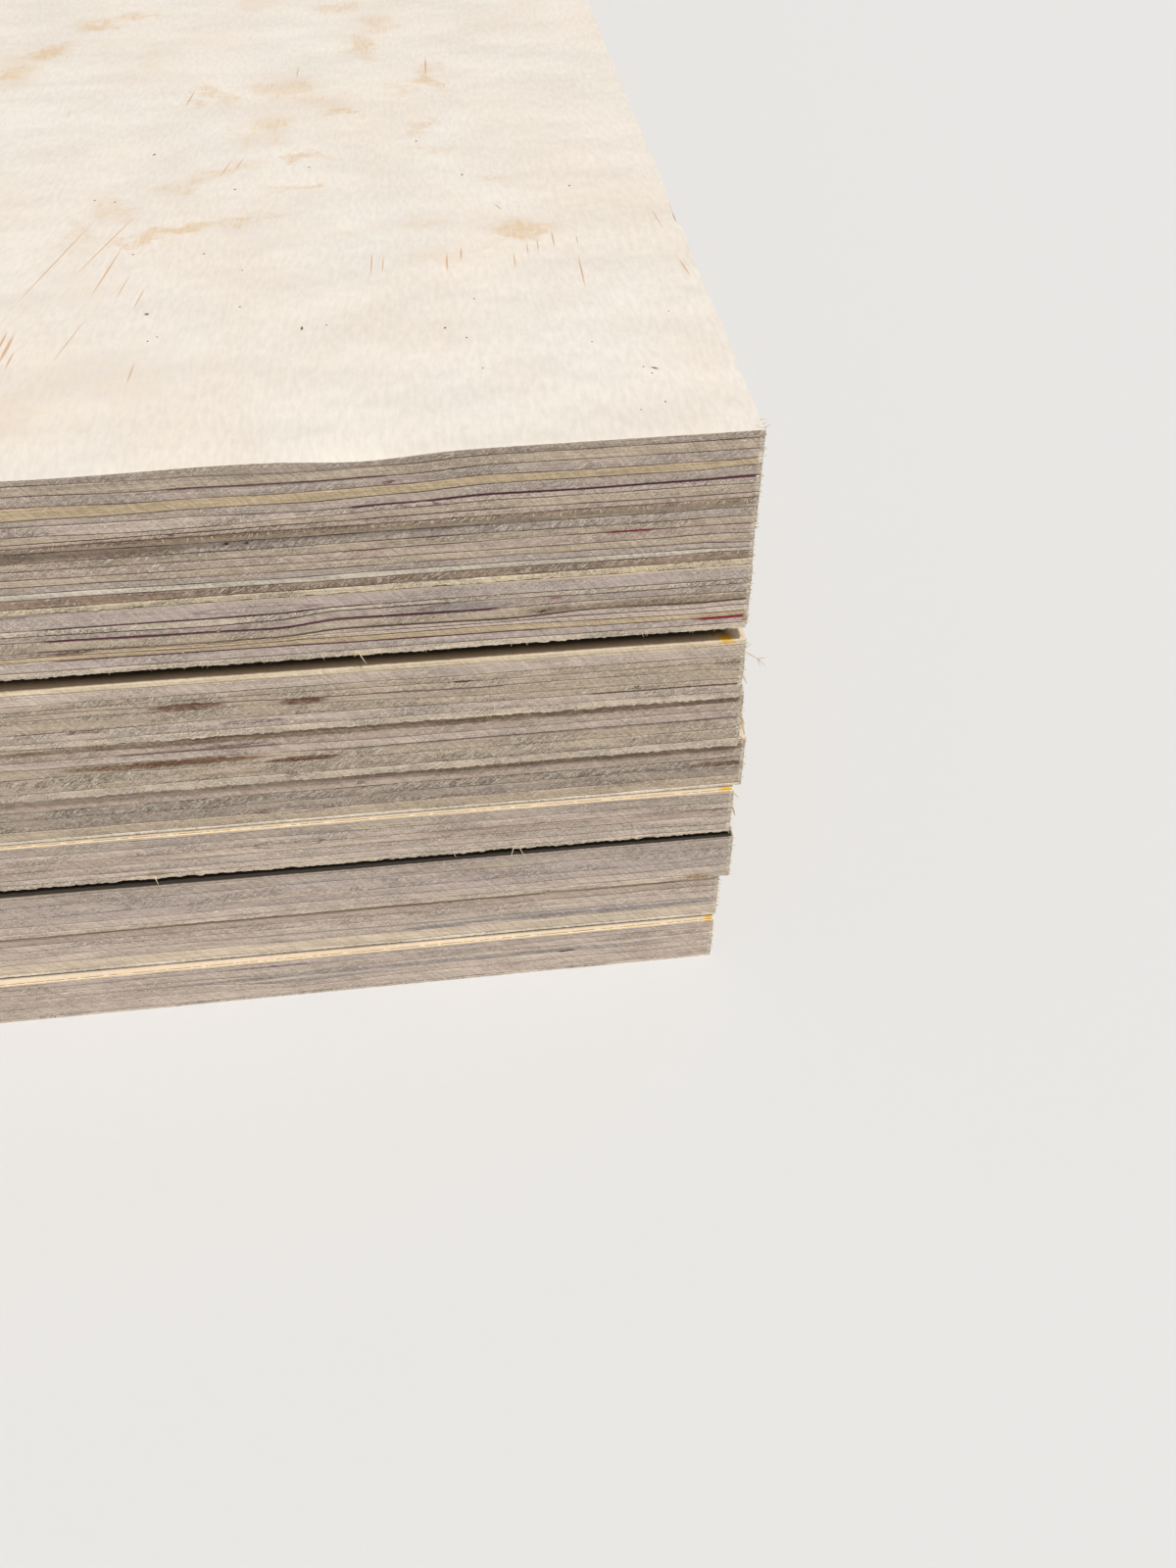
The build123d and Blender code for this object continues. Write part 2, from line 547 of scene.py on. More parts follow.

# %% [markdown]
# The next three have brown knots, long and low because a veneer is thin. Two soft bands of painted
# shadow under their upper arrises stand for the shadow of fringes too fine to model one by one.

# %% The three sheets between
MIDDLE_SHEETS = [
    Sheet(
        sections={
            0: [1.4, 4.9, 7.0, 9.4, 12.5, 14.2, 17.0],
            44: [1.4, 4.9, 7.0, 9.2, 12.3, 14.3, 17.0],
            112: [1.4, 4.6, 6.4, 8.5, 10.4, 13.6, 17.0],
            128: [1.4, 4.6, 6.4, 7.9, 9.6, 13.4, 17.0],
            168: [1.4, 4.6, 6.2, 7.7, 9.4, 13.8, 17.0],
        },
        plies=[
            ("cream", SMOOTH),
            ("light", HATCHED),
            ("straw", FIBROUS),
            ("straw", FIBROUS),
            ("straw", HATCHED),
            ("straw", TORN),
            ("light", FIBROUS),
            ("pale", FIBROUS),
        ],
        marks=[
            Mark(141, 8.5, 10.5, 1.15, "dark", 0.95),
            Mark(112, 9.4, 6.8, 1.15, "dark", 0.95),
            Mark(72, 6.7, 3.2, 0.4, "umber", 0.95),
            Mark(126, 15.0, 6.5, 0.5, "lilac", 0.3, outline=0.8),
            Mark(28, 12.9, 0.6, 0.5, "black", 0.9),
            Mark(167, 14.4, 6, 0.6, "dark", 0.6),
            Mark(4.5, 0.3, 2.6, 0.6, "paint", 0.7),
        ],
        bolds=[Bold(6, -4, 38, "umber", 0.8), Bold(4, 60, 140, "plum", 0.6), Bold(1, 0, 168, "straw", 0.3)],
        hang=1.2,
        painted_arris_highlight=0.4,
    ),
    Sheet(
        sections={
            0: [1.2, 6.2, 8.9, 12.8, 16.6],
            100: [1.2, 6.3, 8.9, 12.4, 16.6],
            140: [1.2, 5.7, 8.4, 11.6, 16.4],
            168: [1.2, 5.6, 8.3, 11.4, 16.6],
        },
        plies=[
            ("straw", HATCHED),
            ("rose", HATCHED),
            ("light", FIBROUS),
            ("straw", FIBROUS),
            ("straw", TORN),
            ("pale", FIBROUS),
        ],
        marks=[
            # painted shadow band under the fringe of the sheet above
            Mark(80, 2.5, 170, 1.3, "shade", 1.0),
            Mark(134, 1.7, 13, 0.5, "hollow", 0.8),
            Mark(150, 9.6, 30, 1.25, "bark", 1.0),
            Mark(146, 9.4, 16, 0.9, "dark", 0.7),
            Mark(116, 11.4, 10.5, 1.0, "dark", 1.0),
            Mark(135, 14.8, 14, 0.8, "brown", 0.7),
            Mark(120, 16.6, 1.8, 1.2, "dark", 0.45, outline=0.5),
            Mark(132, 4.7, 9, 0.4, "plum", 0.8),
            Mark(46, 16.6, 2.5, 0.7, "brown", 0.5),
        ],
        bolds=[Bold(3, -2, 110, "plum", 0.5), Bold(2, 120, 160, "plum", 0.6)],
        hang=1.2,
    ),
    Sheet(
        sections={0: [1.2, 6.9, 9.7, 13.5, 17.0], 168: [1.2, 6.6, 9.9, 13.8, 17.0]},
        plies=[
            ("straw", HATCHED),
            ("rose", HATCHED),
            ("dull", TORN),
            ("dull", FIBROUS),
            ("straw", HATCHED),
            ("white", HATCHED),
        ],
        marks=[
            # painted shadow band under the fringe of the sheet above, in two marks
            Mark(30, 2.7, 105, 1.3, "shade", 0.9),
            Mark(130, 2.6, 60, 1.0, "shade", 0.4),
            Mark(5, 9.0, 13, 1.0, "dark", 0.75),
            Mark(105, 5.0, 1.3, 0.8, "umber", 0.6),
            Mark(124, 13.3, 10, 1.1, "lilac", 0.3, outline=0.7),
            Mark(145, 8.6, 3, 0.8, "brown", 0.5),
            Mark(80, 12.8, 5, 0.5, "plum", 0.5),
        ],
        hang=0.05,
    ),
]
print("plies:", [len(sheet.plies) for sheet in MIDDLE_SHEETS])

# %% [markdown]
# The four lowest are the plainest, with grey-blue stain along their plies. The lower arris of the
# first of them is worn up, so a dark gap shows beneath it.

# %% The four lowest sheets
LOW_SHEETS = [
    Sheet(
        sections={0: [1.0, 4.1, 7.0, 9.8, 12.9, 15.5], 168: [1.0, 3.9, 7.2, 9.9, 13.0, 15.1]},
        plies=[
            ("light", SMOOTH),
            ("grey", HATCHED),
            ("light", FIBROUS),
            ("rose", HATCHED),
            ("light", FIBROUS),
            ("light", HATCHED),
            ("pale", FIBROUS),
        ],
        marks=[
            Mark(126, 8.6, 42, 1.0, "pale", 0.9),
            Mark(100, 0.6, 60, 0.5, "pale", 0.5),
            Mark(97, 2.9, 13, 0.9, "cream", 0.7),
            Mark(97, 2.9, 10, 0.3, "brown", 0.8),
            Mark(125, 6.9, 9.5, 1.7, "lilac", 0.3, outline=0.8),
            Mark(38, 7.3, 41, 0.5, "dull", 0.6, outline=0.6),
            Mark(163, 14.9, 4.5, 0.9, "brown", 0.8),
            Mark(24, 16.4, 2, 0.4, "brown", 0.6),
            Mark(2.6, 0.2, 2.2, 0.5, "paint", 0.8),
        ],
        hang=-1.05,
        notches=[(63, 71, 1.7)],
        painted_arris_highlight=0.7,
    ),
    Sheet(
        sections={0: [1.0, 4.9, 9.6, 12.6, 15.9], 168: [1.0, 4.7, 9.5, 13.0, 16.1]},
        plies=[
            ("grey", HATCHED),
            ("grey", HATCHED),
            ("lilac", FIBROUS),
            ("lilac", HATCHED),
            ("light", HATCHED),
            ("pale", FIBROUS),
        ],
        marks=[
            Mark(122, 4.0, 14, 0.7, "blue", 0.55),
            Mark(128, 9.1, 30, 0.6, "cream", 0.7),
            Mark(71, 4.3, 9, 1.9, "straw", 0.6),
            Mark(96, 3.8, 6, 0.6, "plum", 0.4),
            Mark(10, 16.9, 4.6, 0.8, "resin", 0.8),
            Mark(67, 9.0, 0.9, 9.0, "pale", 0.3),
        ],
        hang=-0.25,
    ),
    Sheet(
        sections={0: [1.0, 4.0, 6.5, 9.5, 12.6, 16.9], 100: [1.0, 4.2, 6.7, 9.6, 12.9, 16.9]},
        plies=[
            ("straw", HATCHED),
            ("rose", HATCHED),
            ("light", FIBROUS),
            ("light", HATCHED),
            ("light", HATCHED),
            ("pale", SMOOTH),
            ("white", FIBROUS),
        ],
        marks=[
            # painted shadow in the gap under the sheet above
            Mark(124, 0.5, 46, 0.5, "hollow", 0.7),
            Mark(86, 12.0, 12, 1.0, "blue", 1.0),
            Mark(40, 11.2, 50, 1.1, "blue", 0.95),
            Mark(132, 12.9, 12, 0.6, "blue", 0.5),
            Mark(90, 5.0, 6, 0.9, "brown", 0.5),
            Mark(67, 9.0, 0.9, 9.0, "pale", 0.3),
        ],
        bolds=[Bold(4, 0, 150, "blue", 0.6)],
        hang=0.05,
    ),
    Sheet(
        sections={
            0: [1.0, 3.2, 6.0, 9.2, 12.5, 16.8],
            90: [1.0, 3.2, 5.8, 8.9, 12.3, 16.8],
            130: [1.0, 3.0, 7.0, 11.3, 13.8, 16.8],
            166: [1.0, 3.0, 6.0, 8.2, 12.4, 16.8],
        },
        plies=[
            ("pale", SMOOTH),
            ("lilac", HATCHED),
            ("light", FIBROUS),
            ("light", HATCHED),
            ("light", HATCHED),
            ("light", HATCHED),
            ("pale", FIBROUS),
        ],
        marks=[
            Mark(136, 2.6, 17, 0.3, "plum", 0.7),
            Mark(141, 8.4, 7.5, 0.8, "brown", 0.9),
            Mark(84, 7.8, 84, 1.0, "blue", 0.8),
            Mark(122, 10.4, 26, 0.8, "blue", 0.75),
            Mark(160, 8.2, 14, 0.7, "blue", 0.7),
            Mark(46.5, 8.7, 2.8, 0.5, "umber", 0.9),
            Mark(58, 9.8, 6.5, 0.35, "white", 0.7),
            Mark(64, 13.1, 4.2, 0.4, "crimson", 0.4),
            Mark(67, 9.0, 0.9, 9.0, "pale", 0.3),
            Mark(1.4, 0.4, 1.6, 0.8, "paint", 0.85),
        ],
        painted_arris_highlight=0.7,
    ),
]
SHEETS = TOP_SHEETS + MIDDLE_SHEETS + LOW_SHEETS
print("glue lines per sheet:", [len(sheet.plies) - 1 for sheet in SHEETS])

# %% [markdown]
# ## Random lines that run once round a sheet
#
# Plies, fraying and roughness all follow the sheet's edge, so they are worked out along one path:
# the distance along the edge from the front right corner, positive along the front and negative
# along the right side. The two ends meet at the far corner. Every random line repeats once round,
# so it has no break there. Waves are smooth and long. Grit is short and rough.

# %% Waves and grit along the edge
PERIMETER = 2 * (WIDTH + LENGTH)


def waves(path, seed, length):
    """Smooth random waves along the path, about -1 to 1, of roughly the given length in metres."""
    rng = np.random.default_rng(seed)
    total = np.zeros_like(path)
    for share in (0.55, 1.0, 1.8, 3.1):
        turns = round(PERIMETER / length * share * rng.uniform(0.85, 1.15))
        total += np.sin(2 * np.pi * turns * path / PERIMETER + rng.uniform(0, 2 * np.pi)) / (0.7 + share)
    return total / 1.2


def grit(path, seed, step):
    """A rough random line along the path, 0 to 1, with a new value at each step."""
    count = round(PERIMETER / step)
    values = np.random.default_rng(seed).random(count)
    place = (path / PERIMETER % 1.0) * count
    low = np.floor(place).astype(int)
    part = place - low
    return values[low % count] * (1 - part) + values[(low + 1) % count] * part


def eased(place, stops, values):
    """Goes from value to value between the stops, level at each stop."""
    stops = np.asarray(stops, float)
    values = np.asarray(values, float)
    k = np.clip(np.searchsorted(stops, place, side="right") - 1, 0, len(stops) - 2)
    part = np.clip((place - stops[k]) / (stops[k + 1] - stops[k]), 0, 1)
    part = part * part * (3 - 2 * part)
    return values[k] * (1 - part) + values[k + 1] * part


print("once round a sheet:", round(PERIMETER, 2), "m")

# %% [markdown]
# A glue line goes through the depths that were read off, eased from one to the next. Past the last
# of them it settles back to its depth at the corner, and random waves take over: one that all lines
# share, since the sheet was pressed as a whole, and one of each line's own. No ply gets so thin
# that it would fold over its neighbour.

# %% Where the glue lines run
THINNEST_PLY = 0.62 * MM
LAYOUT_REACH = 170.0
SETTLE = 260.0
SHARED_WAVE, OWN_WAVE = 1.3 * MM, 0.8 * MM


def edge_droop(path, sheet):
    """How far the face veneer sags over the top of the edge, in metres."""
    fall = np.zeros_like(path)
    for at, depth, half in sheet.droop:
        away = (path / MM - at) / half
        fall += depth * MM * np.exp(-away * away)
    return fall


def glue_lines(path, sheet, number):
    """The depth of the sheet's top, of each glue line and of its underside, all along the path."""
    ahead = np.clip(path / MM, 0, None)
    places = sorted(sheet.sections)
    inside = np.clip((ahead - 5) / 15, 0, 1) * np.clip((LAYOUT_REACH + 60 - ahead) / 60, 0, 1)
    loose = 1 - 0.75 * inside * (path > 0)
    count = len(sheet.plies)
    lines = [edge_droop(path, sheet)]
    shared = waves(path, 100 * number, 0.11)
    for i in range(1, count):
        depths = [sheet.sections[at][i - 1] for at in places]
        stops = places + [places[-1] + SETTLE]
        depth = eased(ahead, stops, depths + [depths[0]]) * MM
        give = min(i, count - i) / count
        own = waves(path, 100 * number + i, 0.07)
        lines.append(depth + loose * give * (SHARED_WAVE * shared + OWN_WAVE * own))
    lines.append(np.full_like(path, THICK))
    for i in range(1, count):
        lines[i] = np.maximum(lines[i], lines[i - 1] + THINNEST_PLY)
    for i in range(count - 1, 0, -1):
        lines[i] = np.minimum(lines[i], lines[i + 1] - THINNEST_PLY)
    return np.array(lines)


corner_lines = glue_lines(np.array([0.0]), SHEETS[0], 1) / MM
print("depths at the corner of the top sheet, mm:", corner_lines[:, 0].round(1).tolist())

# %% [markdown]
# ## From rows to plies
#
# The level rows of the blank are shared out. Each glue line takes three rows: a lip above, the line
# itself, and a lip below. The line is pulled in a little, so the steep light leaves a thin shadow
# in it. Rows that are left over go to the thickest plies. Two values are stored with each vertex
# for the material: which ply it is in, and how near it is to a glue line.

# %% Share out the rows
LIP = 0.24 * MM


class Row(NamedTuple):
    """What a row of the blank follows: a glue line (side 0), a lip beside it (-1 or 1), or a ply's middle."""

    line: int
    side: int | None
    share: float
    ply: int


def rows_for(sheet):
    """The rows of the sheet's edge, from the top down."""
    count = len(sheet.plies)
    corner = [0.0, *sheet.sections[0], THICK / MM]
    thick = [corner[k + 1] - corner[k] for k in range(count)]
    spare = [0] * count
    for _ in range(ROWS - 1 - 3 * (count - 1)):
        roomiest = max(range(count), key=lambda k: thick[k] / (spare[k] + 1))
        spare[roomiest] += 1
    rows = [Row(0, 0, 0.0, 0)]
    for k in range(count):
        if k > 0:
            rows.append(Row(k, 1, 0.0, k))
        for n in range(spare[k]):
            rows.append(Row(k, None, (n + 1) / (spare[k] + 1), k))
        if k < count - 1:
            rows.append(Row(k + 1, -1, 0.0, k))
            rows.append(Row(k + 1, 0, 0.0, k))
    rows.append(Row(count, 0, 0.0, count - 1))
    assert len(rows) == ROWS + 1
    return rows


def row_depth(row, lines):
    """The depth of a row all along the path, and its place counted in plies from the top."""
    if row.side is None:
        above, below = lines[row.line], lines[row.line + 1]
        return above + row.share * (below - above), np.full_like(above, row.line + row.share)
    if row.side == 0:
        return lines[row.line].copy(), np.full_like(lines[0], float(row.line))
    depth = lines[row.line] + row.side * LIP
    across = lines[row.ply + 1] - lines[row.ply]
    return depth, row.line + row.side * LIP / across


print("rows of the top sheet's plies:", [sum(row.ply == k for row in rows_for(SHEETS[0])) for k in range(9)])

# %% [markdown]
# ## Relief, fraying and lay
#
# Now each copy of the blank is shaped. Every ply stands a hair in or out of its neighbours, torn
# plies are rougher than smooth ones, and glue lines are sunk. The lower edge is frayed: where it
# hangs free its fibres droop below the sheet, elsewhere they are broken away. All of this is done
# on the vertices as arrays, which is quick even for a million of them. Last comes the lay: the
# curl, the turn and the place that were read from the frame.

# %% Place and fray the edge
EPS = 1e-6


def lay_down(points, lay):
    """Curls, turns and moves points from the blank's place to the sheet's own place in the stack."""
    x, y, z = points.T
    from_middle = (y - LENGTH / 2) / (LENGTH / 2)
    lift = lay.corner.z + lay.curl * (from_middle**2 - 1)
    cos, sin = math.cos(lay.turn), math.sin(lay.turn)
    turned = (lay.corner.x + x * cos - y * sin, lay.corner.y + x * sin + y * cos, z + lift)
    return np.stack(turned, axis=1)


def edge_path(x, y):
    """The distance along the edge of the nearest point on the outline, and how far inside it a point is."""
    inward = np.stack([y, LENGTH - y, WIDTH + x, -x])
    side = inward.argmin(axis=0)
    along = np.stack([-x, x - LENGTH, WIDTH + y, -y])
    return along[side, np.arange(len(x))], inward.min(axis=0)


def room_below(path, lay, below):
    """How far a fringe can hang at each place of the front before it meets the sheet below."""
    if below is None:
        return np.full_like(path, 1.0 * MM)
    gap = lay.corner.z - below.corner.z - THICK
    overhang = below.corner.y - lay.corner.y - path * (math.sin(below.turn) - math.sin(lay.turn))
    return 0.8 * gap + 3 * MM * np.clip((overhang - 0.1 * MM) / (0.3 * MM), 0, 1)


def frayed_edge(path, sheet, number, room):
    """How far the lower edge hangs down (positive) or is broken away (negative), in metres."""
    on_front = (path > 0) & (path < WIDTH)
    tufts = grit(path, 100 * number + 50, 0.7 * MM) * (0.4 + 0.6 * grit(path, 100 * number + 51, 5 * MM))
    hang = np.minimum(on_front * sheet.hang * MM * (0.75 + 0.7 * tufts), room)
    chips = (0.25 * grit(path, 100 * number + 52, 1.3 * MM) ** 2) * MM
    broken = np.clip(grit(path, 100 * number + 53, 9 * MM) - 0.8, 0, None) * 2.0 * MM
    fall = np.where(hang > 0, hang - 0.3 * chips, hang - chips - broken)
    for start, end, depth in sheet.notches:
        inside = (path > start * MM) & (path < end * MM)
        fall = np.where(inside, -depth * MM * (0.8 + 0.3 * grit(path, 7, 0.6 * MM)), fall)
    return fall


front_path = np.linspace(0, 0.17, 500)
hanging = frayed_edge(front_path, SHEETS[3], 4, np.full(500, MM)) / MM
print("the fourth sheet's arris hangs", hanging.min().round(2), "to", hanging.max().round(2), "mm")

# %% [markdown]
# ### Relief of the edge
#
# Row by row, the edge gets its depths and its relief. A ply that stands out, a sunk glue line and
# slanting ridges from the saw teeth are all pushes along the edge's own normal. The upper arris is
# nibbled, the corner is nicked, and the face sags where the layout says so.

# %% Shape one sheet
LEAN = 1.15
RIM = 2.5 * MM
NICK = 0.6 * MM
SAG_REACH = 9 * MM
SLIP_FROM, SLIP_OVER = 113 * MM, 30 * MM
QUILT_HEIGHT = 0.10 * MM
QUILT_REACH = (0.22, 0.38)


def ply_push(path, number, ply):
    """How far a ply stands out of the edge, in metres."""
    rng = np.random.default_rng(100 * number + 60 + ply)
    return (rng.uniform(-0.05, 0.05) + 0.05 * waves(path, 100 * number + 70 + ply, 0.05)) * MM


def wall_relief(number, sheet, path, lines, level, wall, z):
    """Sets the height of the wall's vertices in z. Returns how far each stands out, its ply and its glue."""
    ply_at = np.zeros_like(path)
    glue_at = np.zeros_like(path)
    push = np.zeros_like(path)
    for j, row in enumerate(rows_for(sheet)):
        here = wall & (level == j)
        s = path[here]
        depth, counted = row_depth(row, lines[:, here])
        out = ply_push(s, number, row.ply)
        if row.side == 0 and 0 < row.line < len(sheet.plies):
            next_ply = ply_push(s, number, row.ply + 1)
            sink = 0.06 + 0.08 * grit(s, 100 * number + 80 + row.line, 2.5 * MM)
            out = np.minimum(out, next_ply) - sink * MM
            glue_at[here] = 1.0
        rough = sheet.plies[row.ply][1]
        ridges = grit(s - LEAN * depth, 1000 * number + row.ply, 0.55 * MM) - 0.5
        push[here] = out + ridges * (0.03 + 0.13 * rough) * MM
        ply_at[here] = counted
        z[here] = THICK - depth
    nick = np.random.default_rng(100 * number + 95).random(ROWS + 1)
    at_corner = wall & (np.abs(path) < EPS)
    push = np.where(at_corner, push - NICK * nick[level] ** 2, push)
    return push, ply_at, glue_at


def arris_wear(path, number):
    """How far the upper arris is worn back at each place, in metres."""
    nibble = 0.10 * MM * grit(path, 100 * number + 90, 0.8 * MM)
    wide_chip = np.clip(grit(path, 100 * number + 91, 14 * MM) - 0.82, 0, None) * 4.0 * MM
    on_layout = (path > -5 * MM) & (path < LAYOUT_REACH * MM)
    wear = nibble + np.where(on_layout, 0.0, wide_chip)
    if number == 1:
        slip = np.clip(1 - (-path - SLIP_FROM) / SLIP_OVER, 0, 1) * (path < -SLIP_FROM)
        swell = 0.25 * MM * (1 + waves(path, 5, 0.03)) * ((path < 0) & (path > -0.3))
        wear = wear + 0.8 * MM * slip + swell
    return wear


def quilted(x, y, inside):
    """The faint swell of the top face near its front right corner, in metres."""
    spread = np.clip(1.4 - np.hypot(x / QUILT_REACH[0], y / QUILT_REACH[1]), 0, 1)
    across = np.sin(x / (5.2 * MM) + 2.1 * np.sin(y / (17 * MM)))
    along = np.sin(y / (4.1 * MM) + 1.7 * np.sin(x / (21 * MM)))
    return QUILT_HEIGHT * across * along * spread * np.clip(inside / (4 * MM), 0, 1)


def shape_sheet(mesh, sheet, number, lay, below):
    """Turns a copy of the blank into one sheet of the stack. Returns its furthest push in and out."""
    flat = np.empty(len(mesh.vertices) * 3)
    mesh.vertices.foreach_get("co", flat)
    points = flat.reshape(-1, 3)
    x, y, z = points.T.copy()
    path, inside = edge_path(x, y)
    wall = inside < EPS
    level = np.rint((THICK - z) / THICK * ROWS).astype(int)
    top, under = level == 0, level == ROWS
    rim = inside < RIM
    lines = glue_lines(path, sheet, number)
    fall = frayed_edge(path, sheet, number, room_below(path, lay, below))
    fall = np.maximum(fall, 0.85 * (lines[-2] - lines[-1]))
    lines[-1] += np.minimum(fall, 0)
    push, ply_at, glue_at = wall_relief(number, sheet, path, lines, level, wall, z)
    wear = arris_wear(path, number)
    first_plies = np.clip(1 - (THICK - z) / (2.2 * MM), 0, 1)
    push = np.where(wall, push - wear * first_plies, push)
    push = np.where(top & rim & ~wall, -wear * np.clip(1 - inside / RIM, 0, 1), push)
    fade = np.clip(1 - inside / SAG_REACH, 0, 1) ** 2
    z = np.where(top, THICK - edge_droop(path, sheet) * fade - 0.04 * MM * wall, z)
    z = np.where(under & wall, -fall, z)
    z = np.where(under & ~wall & (inside < 1.5 * ARRIS), np.clip(-fall, 0, None), z)
    if number == 1:
        z = np.where(top & ~wall, z + quilted(x, y, inside), z)
    edge_x = (np.abs(x) < EPS).astype(float) - (np.abs(x + WIDTH) < EPS)
    edge_y = (np.abs(y - LENGTH) < EPS).astype(float) - (np.abs(y) < EPS)
    ring = top & ~wall & rim
    edge_x = np.where(ring, (x > -RIM).astype(float) - (x < RIM - WIDTH), edge_x)
    edge_y = np.where(ring, (y > LENGTH - RIM).astype(float) - (y < RIM), edge_y)
    local = np.stack([x + edge_x * push, y + edge_y * push, z], axis=1)
    write_maps(mesh, points, local, ply_at, glue_at)
    mesh.vertices.foreach_set("co", lay_down(local, lay).ravel())
    return push.min(), push.max()


print("the saw leaves ridges of up to", round(0.5 * (0.03 + 0.13 * TORN), 3), "mm")

# %% [markdown]
# The material needs to know where it is on the sheet, so the same function family writes a UV map.
# On an edge it holds the distance along the path and the depth below the top; on a face, the place
# measured from the front right corner. Both are in metres, so a pattern keeps its real size.

# %% Store the maps for the materials
EDGE_SLOT, FACE_SLOT, BACK_SLOT = 0, 1, 2


def write_maps(mesh, plain, local, ply_at, glue_at):
    """Writes the UV map, the ply and glue values, the material slots and the smoothing of one sheet."""
    polygons = len(mesh.polygons)
    normals = np.empty(polygons * 3)
    mesh.polygons.foreach_get("normal", normals)
    normals = normals.reshape(-1, 3)
    totals = np.empty(polygons, dtype=np.int32)
    mesh.polygons.foreach_get("loop_total", totals)
    corners = np.empty(len(mesh.loops), dtype=np.int32)
    mesh.loops.foreach_get("vertex_index", corners)
    normal = np.repeat(normals, totals, axis=0)
    x, y = plain[corners, 0], plain[corners, 1]
    depth = THICK - local[corners, 2]
    along = np.select(
        [normal[:, 1] < -0.5, normal[:, 1] > 0.5, normal[:, 0] < -0.5, normal[:, 0] > 0.5],
        [-x, x - LENGTH, WIDTH + y, -y],
        default=x,
    )
    level_face = np.abs(normal[:, 2]) > 0.5
    uv = np.stack([along, np.where(level_face, y, depth)], axis=1)
    layer = mesh.uv_layers.new(name="edge")
    layer.data.foreach_set("uv", uv.ravel().astype(np.float32))
    for name, values in (("ply", ply_at), ("glue", glue_at)):
        attribute = mesh.attributes.new(name, "FLOAT", "POINT")
        attribute.data.foreach_set("value", values.astype(np.float32))
    slots = np.where(normals[:, 2] > 0.5, FACE_SLOT, np.where(normals[:, 2] < -0.5, BACK_SLOT, EDGE_SLOT))
    mesh.polygons.foreach_set("material_index", slots.astype(np.int32))
    mesh.polygons.foreach_set("use_smooth", np.ones(polygons, dtype=bool))


print("slots: edge", EDGE_SLOT, "face", FACE_SLOT, "back", BACK_SLOT)

# %% [markdown]
# ## Building materials from small parts
#
# The finish of an edge is many small effects on top of each other. Each effect that more than one
# material needs is a node group of its own, with named inputs, so it is built once and gets other
# values in each place. Short helpers keep the node code readable: one adds a node and feeds it,
# and each of the others does one usual thing, such as arithmetic, a ramp, a mix or a noise.

# %% Node helpers


def put(tree, kind, feeds=None, **settings):
    """Adds a node, applies its settings and feeds its inputs: a socket is linked, a plain value is set."""
    node = tree.nodes.new(kind)
    for key, value in settings.items():
        setattr(node, key, value)
    for name, value in (feeds or {}).items():
        if isinstance(value, bpy.types.NodeSocket):
            tree.links.new(value, node.inputs[name])
        else:
            node.inputs[name].default_value = value
    return node


def maths(tree, operation, *values):
    """The result of a Math node."""
    return put(tree, "ShaderNodeMath", dict(enumerate(values)), operation=operation).outputs[0]


def vector_maths(tree, operation, *values):
    """The result of a Vector Math node that gives a vector."""
    return put(tree, "ShaderNodeVectorMath", dict(enumerate(values)), operation=operation).outputs[0]


def ramped(tree, value, low, high, start=0.0, end=1.0):
    """Takes a value from the range low to high smoothly into the range start to end."""
    feeds = {"Value": value, "From Min": low, "From Max": high, "To Min": start, "To Max": end}
    return put(tree, "ShaderNodeMapRange", feeds, interpolation_type="SMOOTHSTEP").outputs["Result"]


def blended(tree, factor, first, second, blend="MIX"):
    """Mixes two colours by a factor."""
    feeds = {"Factor": factor, "A": first, "B": second}
    return put(tree, "ShaderNodeMix", feeds, data_type="RGBA", blend_type=blend).outputs["Result"]


def vector(tree, x, y, z):
    """A vector from three values."""
    return put(tree, "ShaderNodeCombineXYZ", {0: x, 1: y, 2: z}).outputs[0]


def scaled(tree, x, y, scale_x, scale_y, seed):
    """A vector of x and y, each with a scale of its own, and a third value, mostly the seed of a noise."""
    return vector(tree, maths(tree, "MULTIPLY", x, scale_x), maths(tree, "MULTIPLY", y, scale_y), seed)


def noise(tree, place, scale=1.0, detail=2.0, roughness=0.5, output="Fac"):
    """A noise texture at a place."""
    feeds = {"Vector": place, "Scale": scale, "Detail": detail, "Roughness": roughness}
    return put(tree, "ShaderNodeTexNoise", feeds).outputs[output]


SOCKETS = {"value": "NodeSocketFloat", "colour": "NodeSocketColor", "vector": "NodeSocketVector"}


def new_group(name, inputs, outputs):
    """An empty node group with the named sockets. Returns its tree, its inputs and its output node."""
    tree = bpy.data.node_groups.new(name, "ShaderNodeTree")
    for label, kind in inputs.items():
        tree.interface.new_socket(name=label, in_out="INPUT", socket_type=SOCKETS[kind])
    for label, kind in outputs.items():
        tree.interface.new_socket(name=label, in_out="OUTPUT", socket_type=SOCKETS[kind])
    entry = tree.nodes.new("NodeGroupInput")
    leave = tree.nodes.new("NodeGroupOutput")
    return tree, entry.outputs, leave


def use(tree, group, **feeds):
    """Places a node group and feeds its named inputs."""
    return put(tree, "ShaderNodeGroup", feeds, node_tree=group).outputs


def finish_group(tree, leave, results):
    """Links the results to the group's named outputs and says how large the group is."""
    for label, value in results.items():
        tree.links.new(value, leave.inputs[label])
    print("group", tree.name, "has", len(tree.nodes), "nodes")


print("socket kinds:", sorted(SOCKETS))
